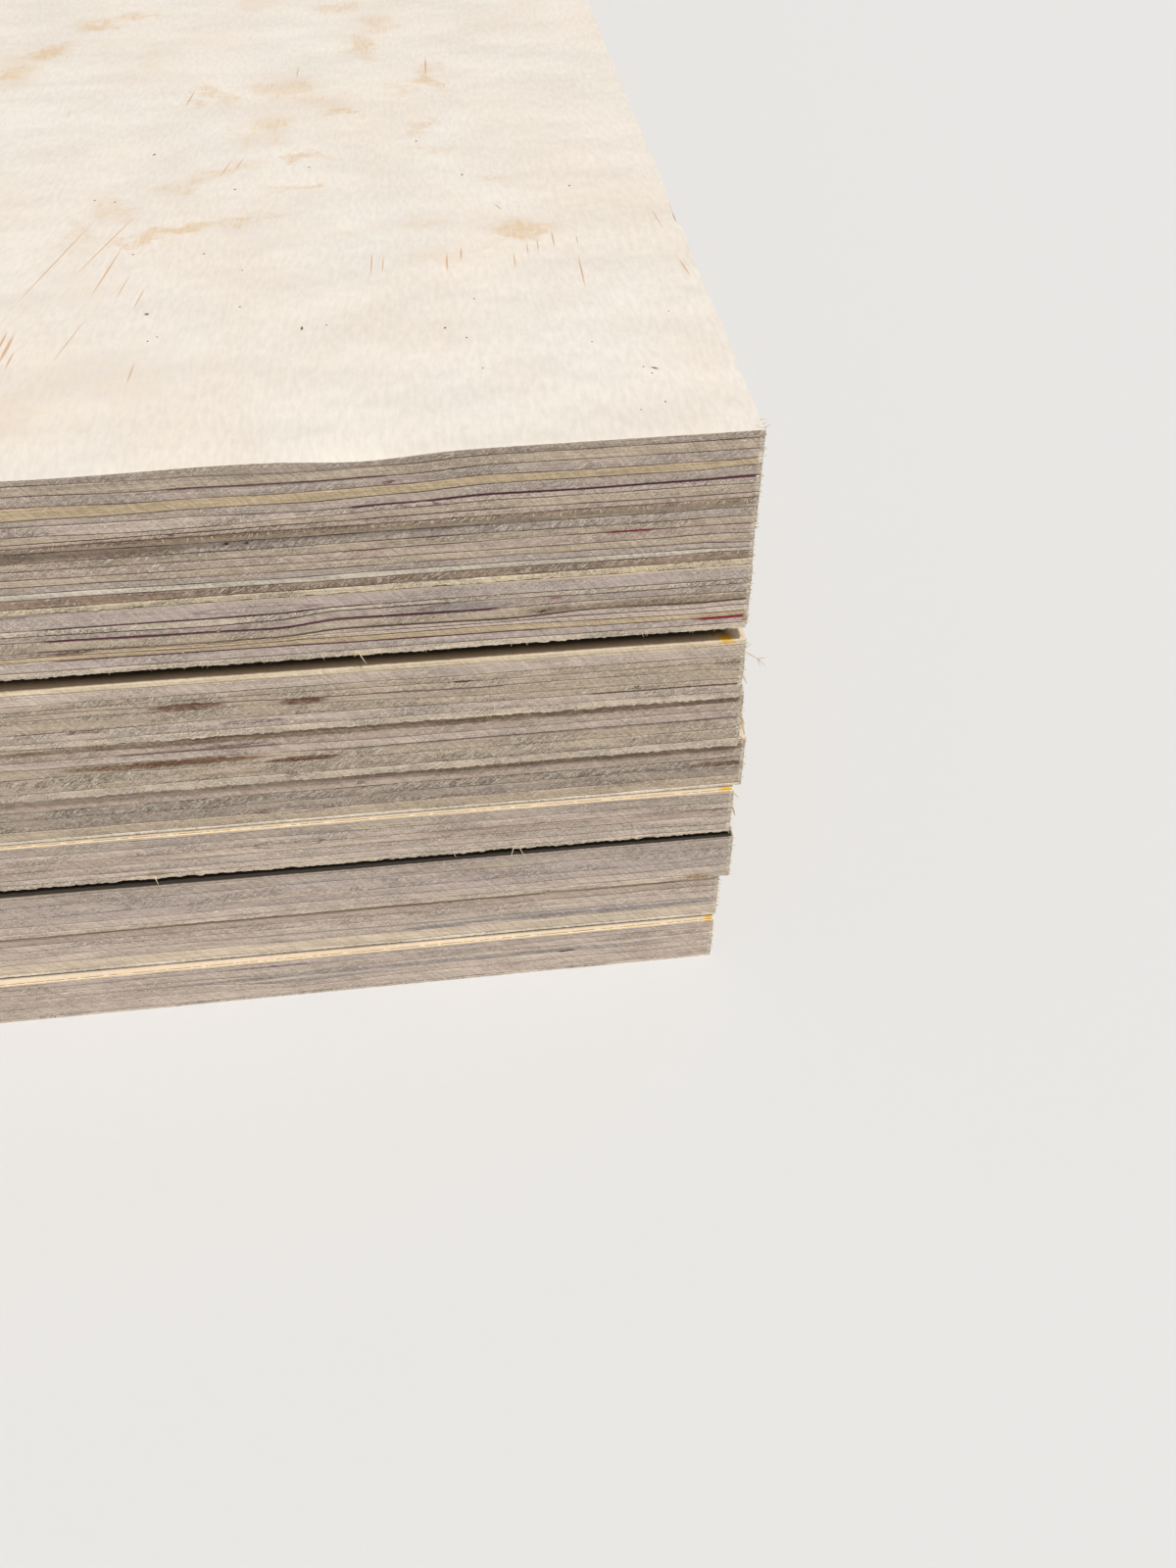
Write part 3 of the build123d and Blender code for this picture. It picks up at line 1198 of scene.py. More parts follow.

# %% [markdown]
# ### Saw marks
#
# A circular saw leaves two kinds of surface. Plies whose grain runs along the cut are sliced clean
# and show fine level streaks. Plies whose grain runs into the cut show their ends, and the teeth
# drag the fibres into short slanting strokes. The group draws both and mixes them by how torn the
# ply is, and lays the faint broad sweep of the teeth over all plies alike. It gives a shade to darken
# or lighten the wood with, a mask of loose pale fibres, a mask of pits that sink in the bump and are
# darkened as painted shade, and a height for the bump. Places are in millimetres.

# %% Saw marks
HAIR_LEAN = 0.36
TOOTH_LEAN = 0.85
sawn, sawn_in, sawn_out = new_group(
    "saw_marks",
    {"Place": "vector", "Seed": "value", "Tear": "value"},
    {"Shade": "value", "Fibre": "value", "Pit": "value", "Height": "value"},
)
saw_split = put(sawn, "ShaderNodeSeparateXYZ", {0: sawn_in["Place"]}).outputs
along, down = saw_split["X"], saw_split["Y"]
wander_place = scaled(sawn, along, down, 0.21, 0.5, sawn_in["Seed"])
wander = maths(sawn, "SUBTRACT", noise(sawn, wander_place, 1.0, 1.0), 0.5)
slid = maths(sawn, "MULTIPLY_ADD", down, -LEAN, along)
slid = maths(sawn, "MULTIPLY_ADD", wander, 2.2, slid)
stroke_place = scaled(sawn, slid, down, 1.8, 0.50, sawn_in["Seed"])
strokes = noise(sawn, stroke_place, 1.0, 2.0, 0.6)
swept = maths(sawn, "MULTIPLY_ADD", down, TOOTH_LEAN, along)
swept = maths(sawn, "MULTIPLY_ADD", wander, 1.6, swept)
tooth_place = scaled(sawn, swept, down, 0.85, 0.09, 7.0)
teeth = noise(sawn, tooth_place, 1.0, 1.0, 0.5)
streak_place = scaled(sawn, along, down, 0.075, 2.6, sawn_in["Seed"])
streaks = noise(sawn, streak_place, 1.0, 4.0, 0.68)
crumb_place = scaled(sawn, slid, down, 3.8, 3.2, sawn_in["Seed"])
crumbs = noise(sawn, crumb_place, 1.0, 2.0, 0.7)
hair_run = maths(sawn, "MULTIPLY_ADD", down, HAIR_LEAN, along)
hair_off = maths(sawn, "MULTIPLY_ADD", wander, 1.3, down)
hair_off = maths(sawn, "MULTIPLY_ADD", along, -HAIR_LEAN, hair_off)
hair_place = scaled(sawn, hair_run, hair_off, 0.55, 3.6, sawn_in["Seed"])
hairs = noise(sawn, hair_place, 1.0, 2.0, 0.6)
drift_place = scaled(sawn, along, down, 0.055, 0.35, sawn_in["Seed"])
drift = noise(sawn, drift_place, 1.0, 2.0)
torn_here = maths(sawn, "MULTIPLY", sawn_in["Tear"], ramped(sawn, drift, 0.36, 0.62, 0.20, 1.25))
stroke_part = maths(sawn, "SUBTRACT", ramped(sawn, strokes, 0.36, 0.64), 0.5)
tooth_part = maths(sawn, "SUBTRACT", ramped(sawn, teeth, 0.36, 0.64), 0.5)
streak_part = maths(sawn, "SUBTRACT", ramped(sawn, streaks, 0.32, 0.68), 0.5)
crumb_part = maths(sawn, "SUBTRACT", ramped(sawn, crumbs, 0.34, 0.66), 0.5)
stroke_share = maths(sawn, "MULTIPLY_ADD", torn_here, 0.50, -0.04)
crumb_share = maths(sawn, "MULTIPLY_ADD", torn_here, 0.50, 0.20)
shade = maths(sawn, "MULTIPLY_ADD", stroke_part, stroke_share, 1.05)
shade = maths(sawn, "MULTIPLY_ADD", tooth_part, 0.15, shade)
shade = maths(sawn, "MULTIPLY_ADD", streak_part, 0.34, shade)
shade = maths(sawn, "MULTIPLY_ADD", crumb_part, crumb_share, shade)
curls = maths(sawn, "MULTIPLY_ADD", crumb_part, 0.16, strokes)
curled = maths(sawn, "MULTIPLY", ramped(sawn, curls, 0.57, 0.66), torn_here)
loose_share = maths(sawn, "MULTIPLY_ADD", torn_here, 0.7, 0.48)
loose = maths(sawn, "MULTIPLY", ramped(sawn, hairs, 0.58, 0.66), loose_share)
fibre = maths(sawn, "MAXIMUM", curled, loose)
# Pits are where the crumbs sink in the bump; the edge material darkens them as painted shade.
pit = maths(sawn, "MULTIPLY", ramped(sawn, crumbs, 0.42, 0.32), torn_here)
stroke_height = maths(sawn, "MULTIPLY_ADD", torn_here, 1.3, -0.10)
crumb_height = maths(sawn, "MULTIPLY_ADD", torn_here, 0.6, 0.20)
height = maths(sawn, "MULTIPLY", stroke_part, stroke_height)
height = maths(sawn, "MULTIPLY_ADD", tooth_part, 0.40, height)
height = maths(sawn, "MULTIPLY_ADD", streak_part, 0.30, height)
height = maths(sawn, "MULTIPLY_ADD", crumb_part, crumb_height, height)
finish_group(sawn, sawn_out, {"Shade": shade, "Fibre": fibre, "Pit": pit, "Height": height})

# %% [markdown]
# ### Knots, stains and lenses
#
# A knot or a stain on an edge is a long low patch, because the veneer is thin and the patch runs
# along it. The group draws an ellipse with a frayed border, and can give its outline alone, which
# is how a lens looks where a ply is cut at a shallow angle.

# %% Mark group
marks_group, mark_in, mark_out = new_group(
    "edge_mark",
    {"Place": "vector", "Centre": "vector", "Size": "vector", "Rim": "value"},
    {"Inside": "value", "Outline": "value"},
)
mark_feeds = {"Vector": mark_in["Place"], "Location": mark_in["Centre"], "Scale": mark_in["Size"]}
mark_place = put(marks_group, "ShaderNodeMapping", mark_feeds, vector_type="TEXTURE").outputs[0]
mark_far = put(marks_group, "ShaderNodeVectorMath", {0: mark_place}, operation="LENGTH").outputs["Value"]
from_rim = maths(marks_group, "ABSOLUTE", maths(marks_group, "SUBTRACT", mark_far, 0.95))
mark_inside = ramped(marks_group, mark_far, 1.10, 0.62)
mark_outline = ramped(marks_group, from_rim, mark_in["Rim"], 0.0)
finish_group(marks_group, mark_out, {"Inside": mark_inside, "Outline": mark_outline})

# %% [markdown]
# ### The drifting tone of a ply
#
# Away from the corner that was measured, a ply gets its tone from a chart of wood tones, picked by
# its number and the sheet's. Along its length the tone drifts, because a veneer is peeled from a
# log that changes as the knife goes round.

# %% Drifting tone
drifting, drift_in, drift_out = new_group(
    "drifting_tone",
    {"Along": "value", "Ply": "value", "Seed": "value"},
    {"Tone": "colour", "Tear": "value"},
)
pick_place = vector(drifting, drift_in["Ply"], drift_in["Seed"], 0.0)
pick = put(drifting, "ShaderNodeTexWhiteNoise", {"Vector": pick_place})
slow_place = scaled(drifting, drift_in["Along"], drift_in["Ply"], 0.0045, 3.7, drift_in["Seed"])
slow = maths(drifting, "SUBTRACT", noise(drifting, slow_place, 1.0, 2.0), 0.5)
chosen = maths(drifting, "FRACT", maths(drifting, "MULTIPLY_ADD", slow, 0.9, pick.outputs["Value"]))
CHART = ["grey", "rose", "light", "lilac", "straw", "grey", "pale", "rose", "tan", "light", "brown", "dull"]
chart = put(drifting, "ShaderNodeValToRGB", {"Fac": chosen})
while len(chart.color_ramp.elements) < len(CHART):
    chart.color_ramp.elements.new(1.0)
for place, (stop, tone) in enumerate(zip(chart.color_ramp.elements, CHART)):
    stop.position = place / len(CHART)
    stop.color = TONES[tone]
tear_place = vector(drifting, drift_in["Seed"], drift_in["Ply"], 5.0)
pick_tear = put(drifting, "ShaderNodeTexWhiteNoise", {"Vector": tear_place})
drift_tear = ramped(drifting, pick_tear.outputs["Value"], 0.0, 1.0, 0.15, 0.85)
finish_group(drifting, drift_out, {"Tone": chart.outputs["Color"], "Tear": drift_tear})

# %% [markdown]
# ## The edge of a sheet
#
# Each sheet has its own edge material, because each has its own plies. The tone comes from a ramp
# with one hard step for each ply, and the ramp's alpha carries how torn that ply is. Then come the
# saw marks, the glue lines, and the sheet's own knots and stains.

# %% Edge material

# Up to where the measured plies hold, and from where the random ones have taken over, in millimetres
LAYOUT_HOLDS, LAYOUT_GONE = 175.0, 330.0
PER_MM = (1 / MM, 1 / MM, 1 / MM)
BARE_WOOD_SPECULAR = 0.25


def edge_material(sheet, number):
    """The material of one sheet's four edges."""
    material = bpy.data.materials.new(f"sawn_edge_{number:02d}")
    material.use_nodes = True
    tree = material.node_tree
    shader = tree.nodes["Principled BSDF"]
    uv = put(tree, "ShaderNodeUVMap", uv_map="edge").outputs["UV"]
    place = vector_maths(tree, "MULTIPLY", uv, PER_MM)
    along = put(tree, "ShaderNodeSeparateXYZ", {0: place}).outputs["X"]
    ply = put(tree, "ShaderNodeAttribute", attribute_name="ply").outputs["Fac"]
    glue = put(tree, "ShaderNodeAttribute", attribute_name="glue").outputs["Fac"]
    index = maths(tree, "FLOOR", maths(tree, "MINIMUM", ply, len(sheet.plies) - 0.01))
    seed = maths(tree, "FRACT", maths(tree, "MULTIPLY_ADD", index, 0.618, 0.37 * number))
    seed = maths(tree, "ADD", seed, 3.0 * number)

    count = len(sheet.plies)
    middle = maths(tree, "DIVIDE", maths(tree, "ADD", index, 0.5), float(count))
    ramp = put(tree, "ShaderNodeValToRGB", {"Fac": middle})
    ramp.color_ramp.interpolation = "CONSTANT"
    while len(ramp.color_ramp.elements) < count:
        ramp.color_ramp.elements.new(1.0)
    for k, (stop, (tone, tear)) in enumerate(zip(ramp.color_ramp.elements, sheet.plies)):
        stop.position = k / count
        stop.color = (*TONES[tone][:3], tear)
    drifted = use(tree, drifting, Along=along, Ply=index, Seed=float(number))
    near = ramped(tree, maths(tree, "ABSOLUTE", along), LAYOUT_GONE, LAYOUT_HOLDS)
    colour = blended(tree, near, drifted["Tone"], ramp.outputs["Color"])
    tear_mix = put(tree, "ShaderNodeMix", {"Factor": near, "A": drifted["Tear"], "B": ramp.outputs["Alpha"]})
    tear = tear_mix.outputs["Result"]

    saw = use(tree, sawn, Place=place, Seed=seed, Tear=tear)
    sawn_shade = saw["Shade"]
    soft_place = scaled(tree, along, ply, 0.02, 0.8, float(number))
    patchy = ramped(tree, noise(tree, soft_place, 1.0, 3.0, 0.6), 0.25, 0.75, 0.90, 1.10)
    colour = blended(tree, 1.0, colour, maths(tree, "MULTIPLY", sawn_shade, patchy), "MULTIPLY")
    colour = blended(tree, maths(tree, "MULTIPLY", saw["Fibre"], 0.8), colour, TONES["white"])
    # Painted shade in the pits between torn fibres
    colour = blended(tree, maths(tree, "MULTIPLY", saw["Pit"], 0.75), colour, TONES["hollow"])

    line_place = vector(tree, maths(tree, "MULTIPLY", along, 0.045), maths(tree, "ROUND", ply), float(number))
    line_noise = noise(tree, line_place, 1.0, 3.0, 0.6)
    line_strength = ramped(tree, line_noise, 0.32, 0.66, 0.40 * sheet.line, sheet.line)
    thin_line = maths(tree, "MULTIPLY", ramped(tree, glue, 0.15, 0.65), line_strength)
    colour = blended(tree, thin_line, colour, TONES["glue"])
    for bold in sheet.bolds:
        off_line = maths(tree, "ABSOLUTE", maths(tree, "SUBTRACT", ply, float(bold.line)))
        on_line = ramped(tree, off_line, bold.half * 1.5, bold.half * 0.7)
        starts = ramped(tree, along, bold.start, bold.start + 4.0)
        ends = ramped(tree, along, bold.end + 4.0, bold.end)
        mask = maths(tree, "MULTIPLY", on_line, maths(tree, "MULTIPLY", starts, ends))
        colour = blended(tree, maths(tree, "MULTIPLY", mask, bold.strength), colour, TONES[bold.tone])
    stretched = vector_maths(tree, "MULTIPLY", place, (0.35, 1.3, 1.0))
    wobble = maths(tree, "SUBTRACT", noise(tree, stretched, 1.0, 3.0, 0.65), 0.5)
    shaken = scaled(tree, wobble, wobble, 7.0, 1.5, 0.0)
    shaken = vector_maths(tree, "ADD", place, shaken)
    for mark in sheet.marks:
        sizes = {"Centre": (mark.at, mark.down, 0.0), "Size": (mark.half_length, mark.half_height, 1.0)}
        spot = use(tree, marks_group, Place=shaken, Rim=0.20 / mark.half_height, **sizes)
        tone = blended(tree, 1.0, TONES[mark.tone], sawn_shade, "MULTIPLY")
        uneven = maths(tree, "MULTIPLY", ramped(tree, sawn_shade, 0.85, 1.25, 1.15, 0.75), mark.strength)
        colour = blended(tree, maths(tree, "MULTIPLY", spot["Inside"], uneven), colour, tone)
        if mark.outline:
            rim_share = maths(tree, "MULTIPLY", spot["Outline"], mark.outline * 0.8)
            colour = blended(tree, rim_share, colour, TONES["plum"])

    near_corner = ramped(tree, maths(tree, "ABSOLUTE", along), 1.9, 0.2)
    colour = blended(tree, maths(tree, "MULTIPLY", near_corner, 0.5), colour, TONES["tan"])
    raised = ramped(tree, sawn_shade, 1.0, 1.12)
    crumbled = maths(tree, "MULTIPLY", raised, ramped(tree, near_corner, 0.2, 0.6, 0.0, 0.9))
    colour = blended(tree, crumbled, colour, TONES["white"])
    # Painted highlight along the upper arris: the top of the first ply is mixed toward cream.
    painted_arris_band = ramped(tree, ply, 0.10, 0.0)
    colour = blended(tree, maths(tree, "MULTIPLY", painted_arris_band, sheet.painted_arris_highlight), colour, TONES["cream"])
    tree.links.new(colour, shader.inputs["Base Color"])
    tree.links.new(ramped(tree, sawn_shade, 0.8, 1.2, 0.95, 0.78), shader.inputs["Roughness"])
    shader.inputs["Specular IOR Level"].default_value = BARE_WOOD_SPECULAR
    bump = put(tree, "ShaderNodeBump", {"Height": saw["Height"], "Strength": 0.9, "Distance": 0.23 * MM})
    tree.links.new(bump.outputs["Normal"], shader.inputs["Normal"])
    print(material.name, "has", len(tree.nodes), "nodes")
    return material


# %% [markdown]
# ## The face veneer
#
# The face is rotary-cut veneer, sanded: nearly white, with a soft quilted swell, fine grain along
# the sheet and faint tan clouds. The swell is shaded partly by its relief and partly by painted shade
# in its colour. Three masks do most of it: short thin streaks that follow the grain, tiny dark
# specks, and clouds. They are one group, because the top sheet, the hidden faces and the
# undersides use it with other strengths.

# %% Veneer group
veneer, veneer_in, veneer_out = new_group(
    "veneer_figure",
    {"Place": "vector", "Seed": "value"},
    {label: "value" for label in ("Cloud", "Quilt", "Grain", "Fleck", "Streak", "Speck", "Height")},
)
vn_split = put(veneer, "ShaderNodeSeparateXYZ", {0: veneer_in["Place"]}).outputs
vn_x, vn_y = vn_split["X"], vn_split["Y"]
bend_place = scaled(veneer, vn_x, vn_y, 0.004, 0.0022, veneer_in["Seed"])
bend = maths(veneer, "SUBTRACT", noise(veneer, bend_place, 1.0, 2.0), 0.5)
grain_x = maths(veneer, "MULTIPLY_ADD", bend, 60.0, vn_x)
cloud_place = scaled(veneer, grain_x, vn_y, 0.022, 0.012, veneer_in["Seed"])
cloud = noise(veneer, cloud_place, 1.0, 4.0, 0.6)
fine_place = scaled(veneer, grain_x, vn_y, 1.6, 0.07, veneer_in["Seed"])
fine = noise(veneer, fine_place, 1.0, 3.0, 0.65)
fleck_place = scaled(veneer, grain_x, vn_y, 0.75, 0.19, veneer_in["Seed"])
fleck = noise(veneer, fleck_place, 1.0, 4.0, 0.65)
streak_cell = scaled(veneer, grain_x, vn_y, 0.30, 0.016, veneer_in["Seed"])
streak_noise = noise(veneer, streak_cell, 1.0, 2.0, 0.55)
sparse = ramped(veneer, noise(veneer, cloud_place, 2.3, 1.0), 0.50, 0.66)
streak = maths(veneer, "MULTIPLY", ramped(veneer, streak_noise, 0.700, 0.745), sparse)
speck_cell = put(veneer, "ShaderNodeTexVoronoi", {"Vector": veneer_in["Place"], "Scale": 0.045}, feature="F1")
speck_keep = put(veneer, "ShaderNodeSeparateColor", {0: speck_cell.outputs["Color"]}).outputs[0]
speck_size = ramped(veneer, speck_keep, 0.6, 1.0, 0.0, 0.030)
speck = maths(veneer, "LESS_THAN", speck_cell.outputs["Distance"], speck_size)
quilt_place = scaled(veneer, grain_x, vn_y, 0.030, 0.060, veneer_in["Seed"])
quilt = noise(veneer, quilt_place, 1.0, 3.0, 0.5)
veneer_height = maths(veneer, "MULTIPLY_ADD", fine, 0.03, quilt)
veneer_height = maths(veneer, "MULTIPLY_ADD", fleck, 0.05, veneer_height)
figures = {"Cloud": cloud, "Quilt": quilt, "Grain": fine, "Fleck": fleck, "Streak": streak, "Speck": speck}
finish_group(veneer, veneer_out, {**figures, "Height": veneer_height})

# %% [markdown]
# ### Stains on the top face
#
# The tan stains near the photographed corner are soft ovals, some of them leaning. Their place is
# shaken by a noise and their tone broken up by the grain, so they don't read as ovals any more.
# Grain streaks are the same ovals, only very thin. Further off, the same tan comes from clouds.

# %% Ovals


class Stain(NamedTuple):
    """A tan stain on the top face, in millimetres from its front right corner: left, back, and half sizes."""

    left: float
    back: float
    half_width: float
    half_length: float
    strength: float
    lean: float = 0.0


class Scratch(NamedTuple):
    """A thin dark grain streak or a speck on the top face: where it is, half its length, and its lean."""

    left: float
    back: float
    half_length: float
    lean: float = 0.0
    half_width: float = 0.32


def oval(tree, place, centre, sizes, turn, edge, strength):
    """A soft oval patch on a face: full inside, gone at the edge. Centre is left and back in millimetres."""
    feeds = {
        "Vector": place,
        "Location": (-centre[0], centre[1], 0.0),
        "Rotation": (0.0, 0.0, turn),
        "Scale": (sizes[0], sizes[1], 1.0),
    }
    inner = put(tree, "ShaderNodeMapping", feeds, vector_type="TEXTURE").outputs[0]
    far = put(tree, "ShaderNodeVectorMath", {0: inner}, operation="LENGTH").outputs["Value"]
    return ramped(tree, far, edge[1], edge[0], 0.0, strength)


def strongest(tree, masks):
    """The largest of several masks."""
    total = masks[0]
    for mask in masks[1:]:
        total = maths(tree, "MAXIMUM", total, mask)
    return total


print("a stain has", len(Stain._fields), "values, a scratch has", len(Scratch._fields))

# %% [markdown]
# The places of the stains, the longer grain streaks and the specks were measured on the photograph
# as well, in millimetres to the left of the front right corner and back from the front edge.

# %% The stains that were read off
STAINS = [
    Stain(140, 126, 15, 3.6, 0.95, 0.40),
    Stain(122, 131, 9, 3.0, 0.75, 0.55),
    Stain(150, 120, 10, 3.4, 0.8, 0.10),
    Stain(112, 116, 16, 8.0, 0.30),
    Stain(92, 121, 12, 5.0, 0.40, -0.1),
    Stain(70, 123, 14, 4.5, 0.50, 0.1),
    Stain(46, 115, 8, 8.0, 0.95),
    Stain(54, 106, 9, 3.5, 0.45),
    Stain(68, 100, 14, 4.5, 0.40, -0.1),
    Stain(108, 180, 7, 3.2, 0.85, 0.3),
    Stain(98, 178, 6, 2.6, 0.6, -0.3),
    Stain(66, 178, 9, 6.0, 0.55),
    Stain(108, 154, 9, 3.2, 0.65, 0.5),
    Stain(50, 151, 9, 2.5, 0.50),
    Stain(116, 246, 12, 14.0, 0.65),
    Stain(102, 232, 10, 9.0, 0.55),
    Stain(100, 222, 7, 3.0, 0.90, 0.3),
    Stain(140, 242, 5, 12.0, 0.75, 0.4),
    Stain(146, 230, 4, 8.0, 0.60, 0.4),
    Stain(66, 250, 4, 15.0, 0.85),
    Stain(77, 240, 5, 9.0, 0.6),
    Stain(118, 205, 9, 17.0, 0.6),
    Stain(126, 196, 4, 10.0, 0.5, 0.3),
    Stain(71, 203, 2.5, 11.0, 0.6),
    Stain(90, 290, 7, 22.0, 0.75, 0.2),
    Stain(84, 316, 9, 16.0, 0.6, -0.3),
    Stain(100, 340, 12, 7.0, 0.7),
    Stain(132, 168, 14, 6.0, 0.65, 0.9),
    Stain(142, 158, 9, 4.0, 0.6, 0.9),
    Stain(160, 146, 5, 16.0, 0.55, 0.5),
    Stain(166, 128, 4, 15.0, 0.5, 0.4),
    Stain(204, 298, 12, 7.0, 0.95, 1.3),
    Stain(192, 328, 9, 9.0, 0.9, 1.0),
    Stain(214, 272, 9, 6.0, 0.8, 0.6),
    Stain(176, 338, 12, 5.0, 0.7, 0.1),
    Stain(150, 300, 24, 14.0, 0.25),
    Stain(148, 42, 24, 26.0, 0.36),
    Stain(160, 92, 14, 16.0, 0.34),
    Stain(168, 28, 10, 10.0, 0.45),
    Stain(20, 132, 18, 4.0, 0.30, -0.3),
    Stain(60, 60, 34, 12.0, 0.14),
]
print(len(STAINS), "stains")

# %% Streaks and specks
SCRATCHES = [
    Scratch(155.5, 102, 18, 0.13),
    Scratch(159, 63, 13, 0.2, 0.2),
    Scratch(158, 120, 26, 0.28, 0.25),
    Scratch(170, 110, 30, 0.23, 0.28),
    Scratch(173.4, 60, 9, 0.05, 0.6),
    Scratch(175.2, 64, 7, 0.05, 0.4),
    Scratch(171.5, 54, 5, 0.05, 0.35),
    Scratch(142, 44, 6, 0.05, 0.25),
    Scratch(31, 86, 12, 0.02),
    Scratch(66, 96, 7, 0.03),
    Scratch(62, 101, 5, 0.05),
    Scratch(48, 95, 6, 0.02, 0.25),
    Scratch(44, 102, 5, 0.02, 0.22),
    Scratch(41, 104, 5, 0.02, 0.22),
    Scratch(36.5, 108, 7, 0.02, 0.28),
    Scratch(86, 98, 8, 0.03, 0.25),
    Scratch(83, 97, 6, 0.03, 0.2),
    Scratch(30, 106, 4, 0.02, 0.2),
    Scratch(3.7, 85, 7, -0.12, 0.3),
    Scratch(6, 118, 8, -0.1, 0.22),
    Scratch(50, 132, 3, -0.4),
    Scratch(145, 84, 7, 0.12, 0.25),
    Scratch(150, 92, 9, 0.12, 0.18),
    Scratch(130, 172, 9, 0.2, 0.25),
    Scratch(126, 176, 8, 0.2, 0.2),
    Scratch(147, 238, 10, 0.1, 0.35),
    Scratch(112, 262, 8, 0.02, 0.25),
    Scratch(67, 262, 12, 0.02, 0.4),
]
SPECKS = [
    Scratch(103, 62, 1.3, 0.0, 0.42),
    Scratch(68, 58, 0.7, 0.3, 0.36),
    Scratch(63, 52, 0.45, 0.0, 0.28),
    Scratch(60, 73, 0.45, 0.0, 0.28),
    Scratch(153, 187, 0.8, 0.0, 0.6),
    Scratch(28, 145, 0.7, 0.0, 0.4),
    Scratch(59, 158, 0.7, 0.0, 0.45),
    Scratch(72, 188, 0.7, 0.0, 0.4),
    Scratch(20, 31, 0.45, 0.8, 1.3),
    Scratch(22.5, 32, 0.35, 0.0, 0.35),
    Scratch(21, 28.5, 0.35, 0.0, 0.3),
    Scratch(20, 15, 0.4, 0.0, 0.32),
    Scratch(26, 12, 0.3, 0.0, 0.25),
    Scratch(142, 75, 0.7, 0.5, 0.8),
    Scratch(119, 76, 0.5, 0.0, 0.34),
    Scratch(97, 63, 0.4, 0.0, 0.3),
    Scratch(105, 170, 0.6, 0.0, 0.35),
    Scratch(126, 155, 0.6, 0.0, 0.5),
    Scratch(140, 60, 0.4, 0.0, 0.3),
    Scratch(138, 62, 0.4, 0.0, 0.25),
    Scratch(160, 150, 0.5, 0.0, 0.4),
    Scratch(166, 152, 0.5, 0.0, 0.35),
    Scratch(131, 110, 0.5, 0.0, 0.4),
    Scratch(120, 98, 0.4, 0.0, 0.3),
    Scratch(60, 36, 0.35, 0.0, 0.26),
    Scratch(33, 46, 0.35, 0.0, 0.26),
    Scratch(150, 112, 0.5, 0.0, 0.35),
    Scratch(12, 60, 0.35, 0.0, 0.26),
]
print(len(SCRATCHES), "streaks,", len(SPECKS), "specks")

# %% [markdown]
# ### The material of a face
#
# A face starts from one pale colour, and every effect is mixed over it in turn: warm clouds, grain,
# fleck and a painted shading of the quilted swell, then the stains. On a face that lies in the stack,
# only the strip in front of the sheet above is seen. It is bare and yellow where the veneer was broken
# off, and under the sheet above, where no light gets in, painted shade darkens it.

# %% Face material
STAIN_WARP = (40.0, 34.0, 0.0)
WARM_TINT = (0.985, 0.955, 0.915, 1.0)
CLEAR_UNTIL, STRAY_FROM = 330.0, 420.0
SANDED_SPECULAR = 0.3
# The share of its colour that a face keeps where the painted shade under the sheet above is full
DARKEST_PAINTED_SHADE = 0.06


def inward_of(tree, place):
    """How far inside the outline of a sheet a place is, in millimetres, for a place measured on that sheet."""
    split = put(tree, "ShaderNodeSeparateXYZ", {0: place}).outputs
    from_right = maths(tree, "MULTIPLY", split["X"], -1.0)
    from_left = maths(tree, "ADD", split["X"], WIDTH / MM)
    from_back = maths(tree, "SUBTRACT", LENGTH / MM, split["Y"])
    across = maths(tree, "MINIMUM", from_right, from_left)
    return maths(tree, "MINIMUM", across, maths(tree, "MINIMUM", split["Y"], from_back))


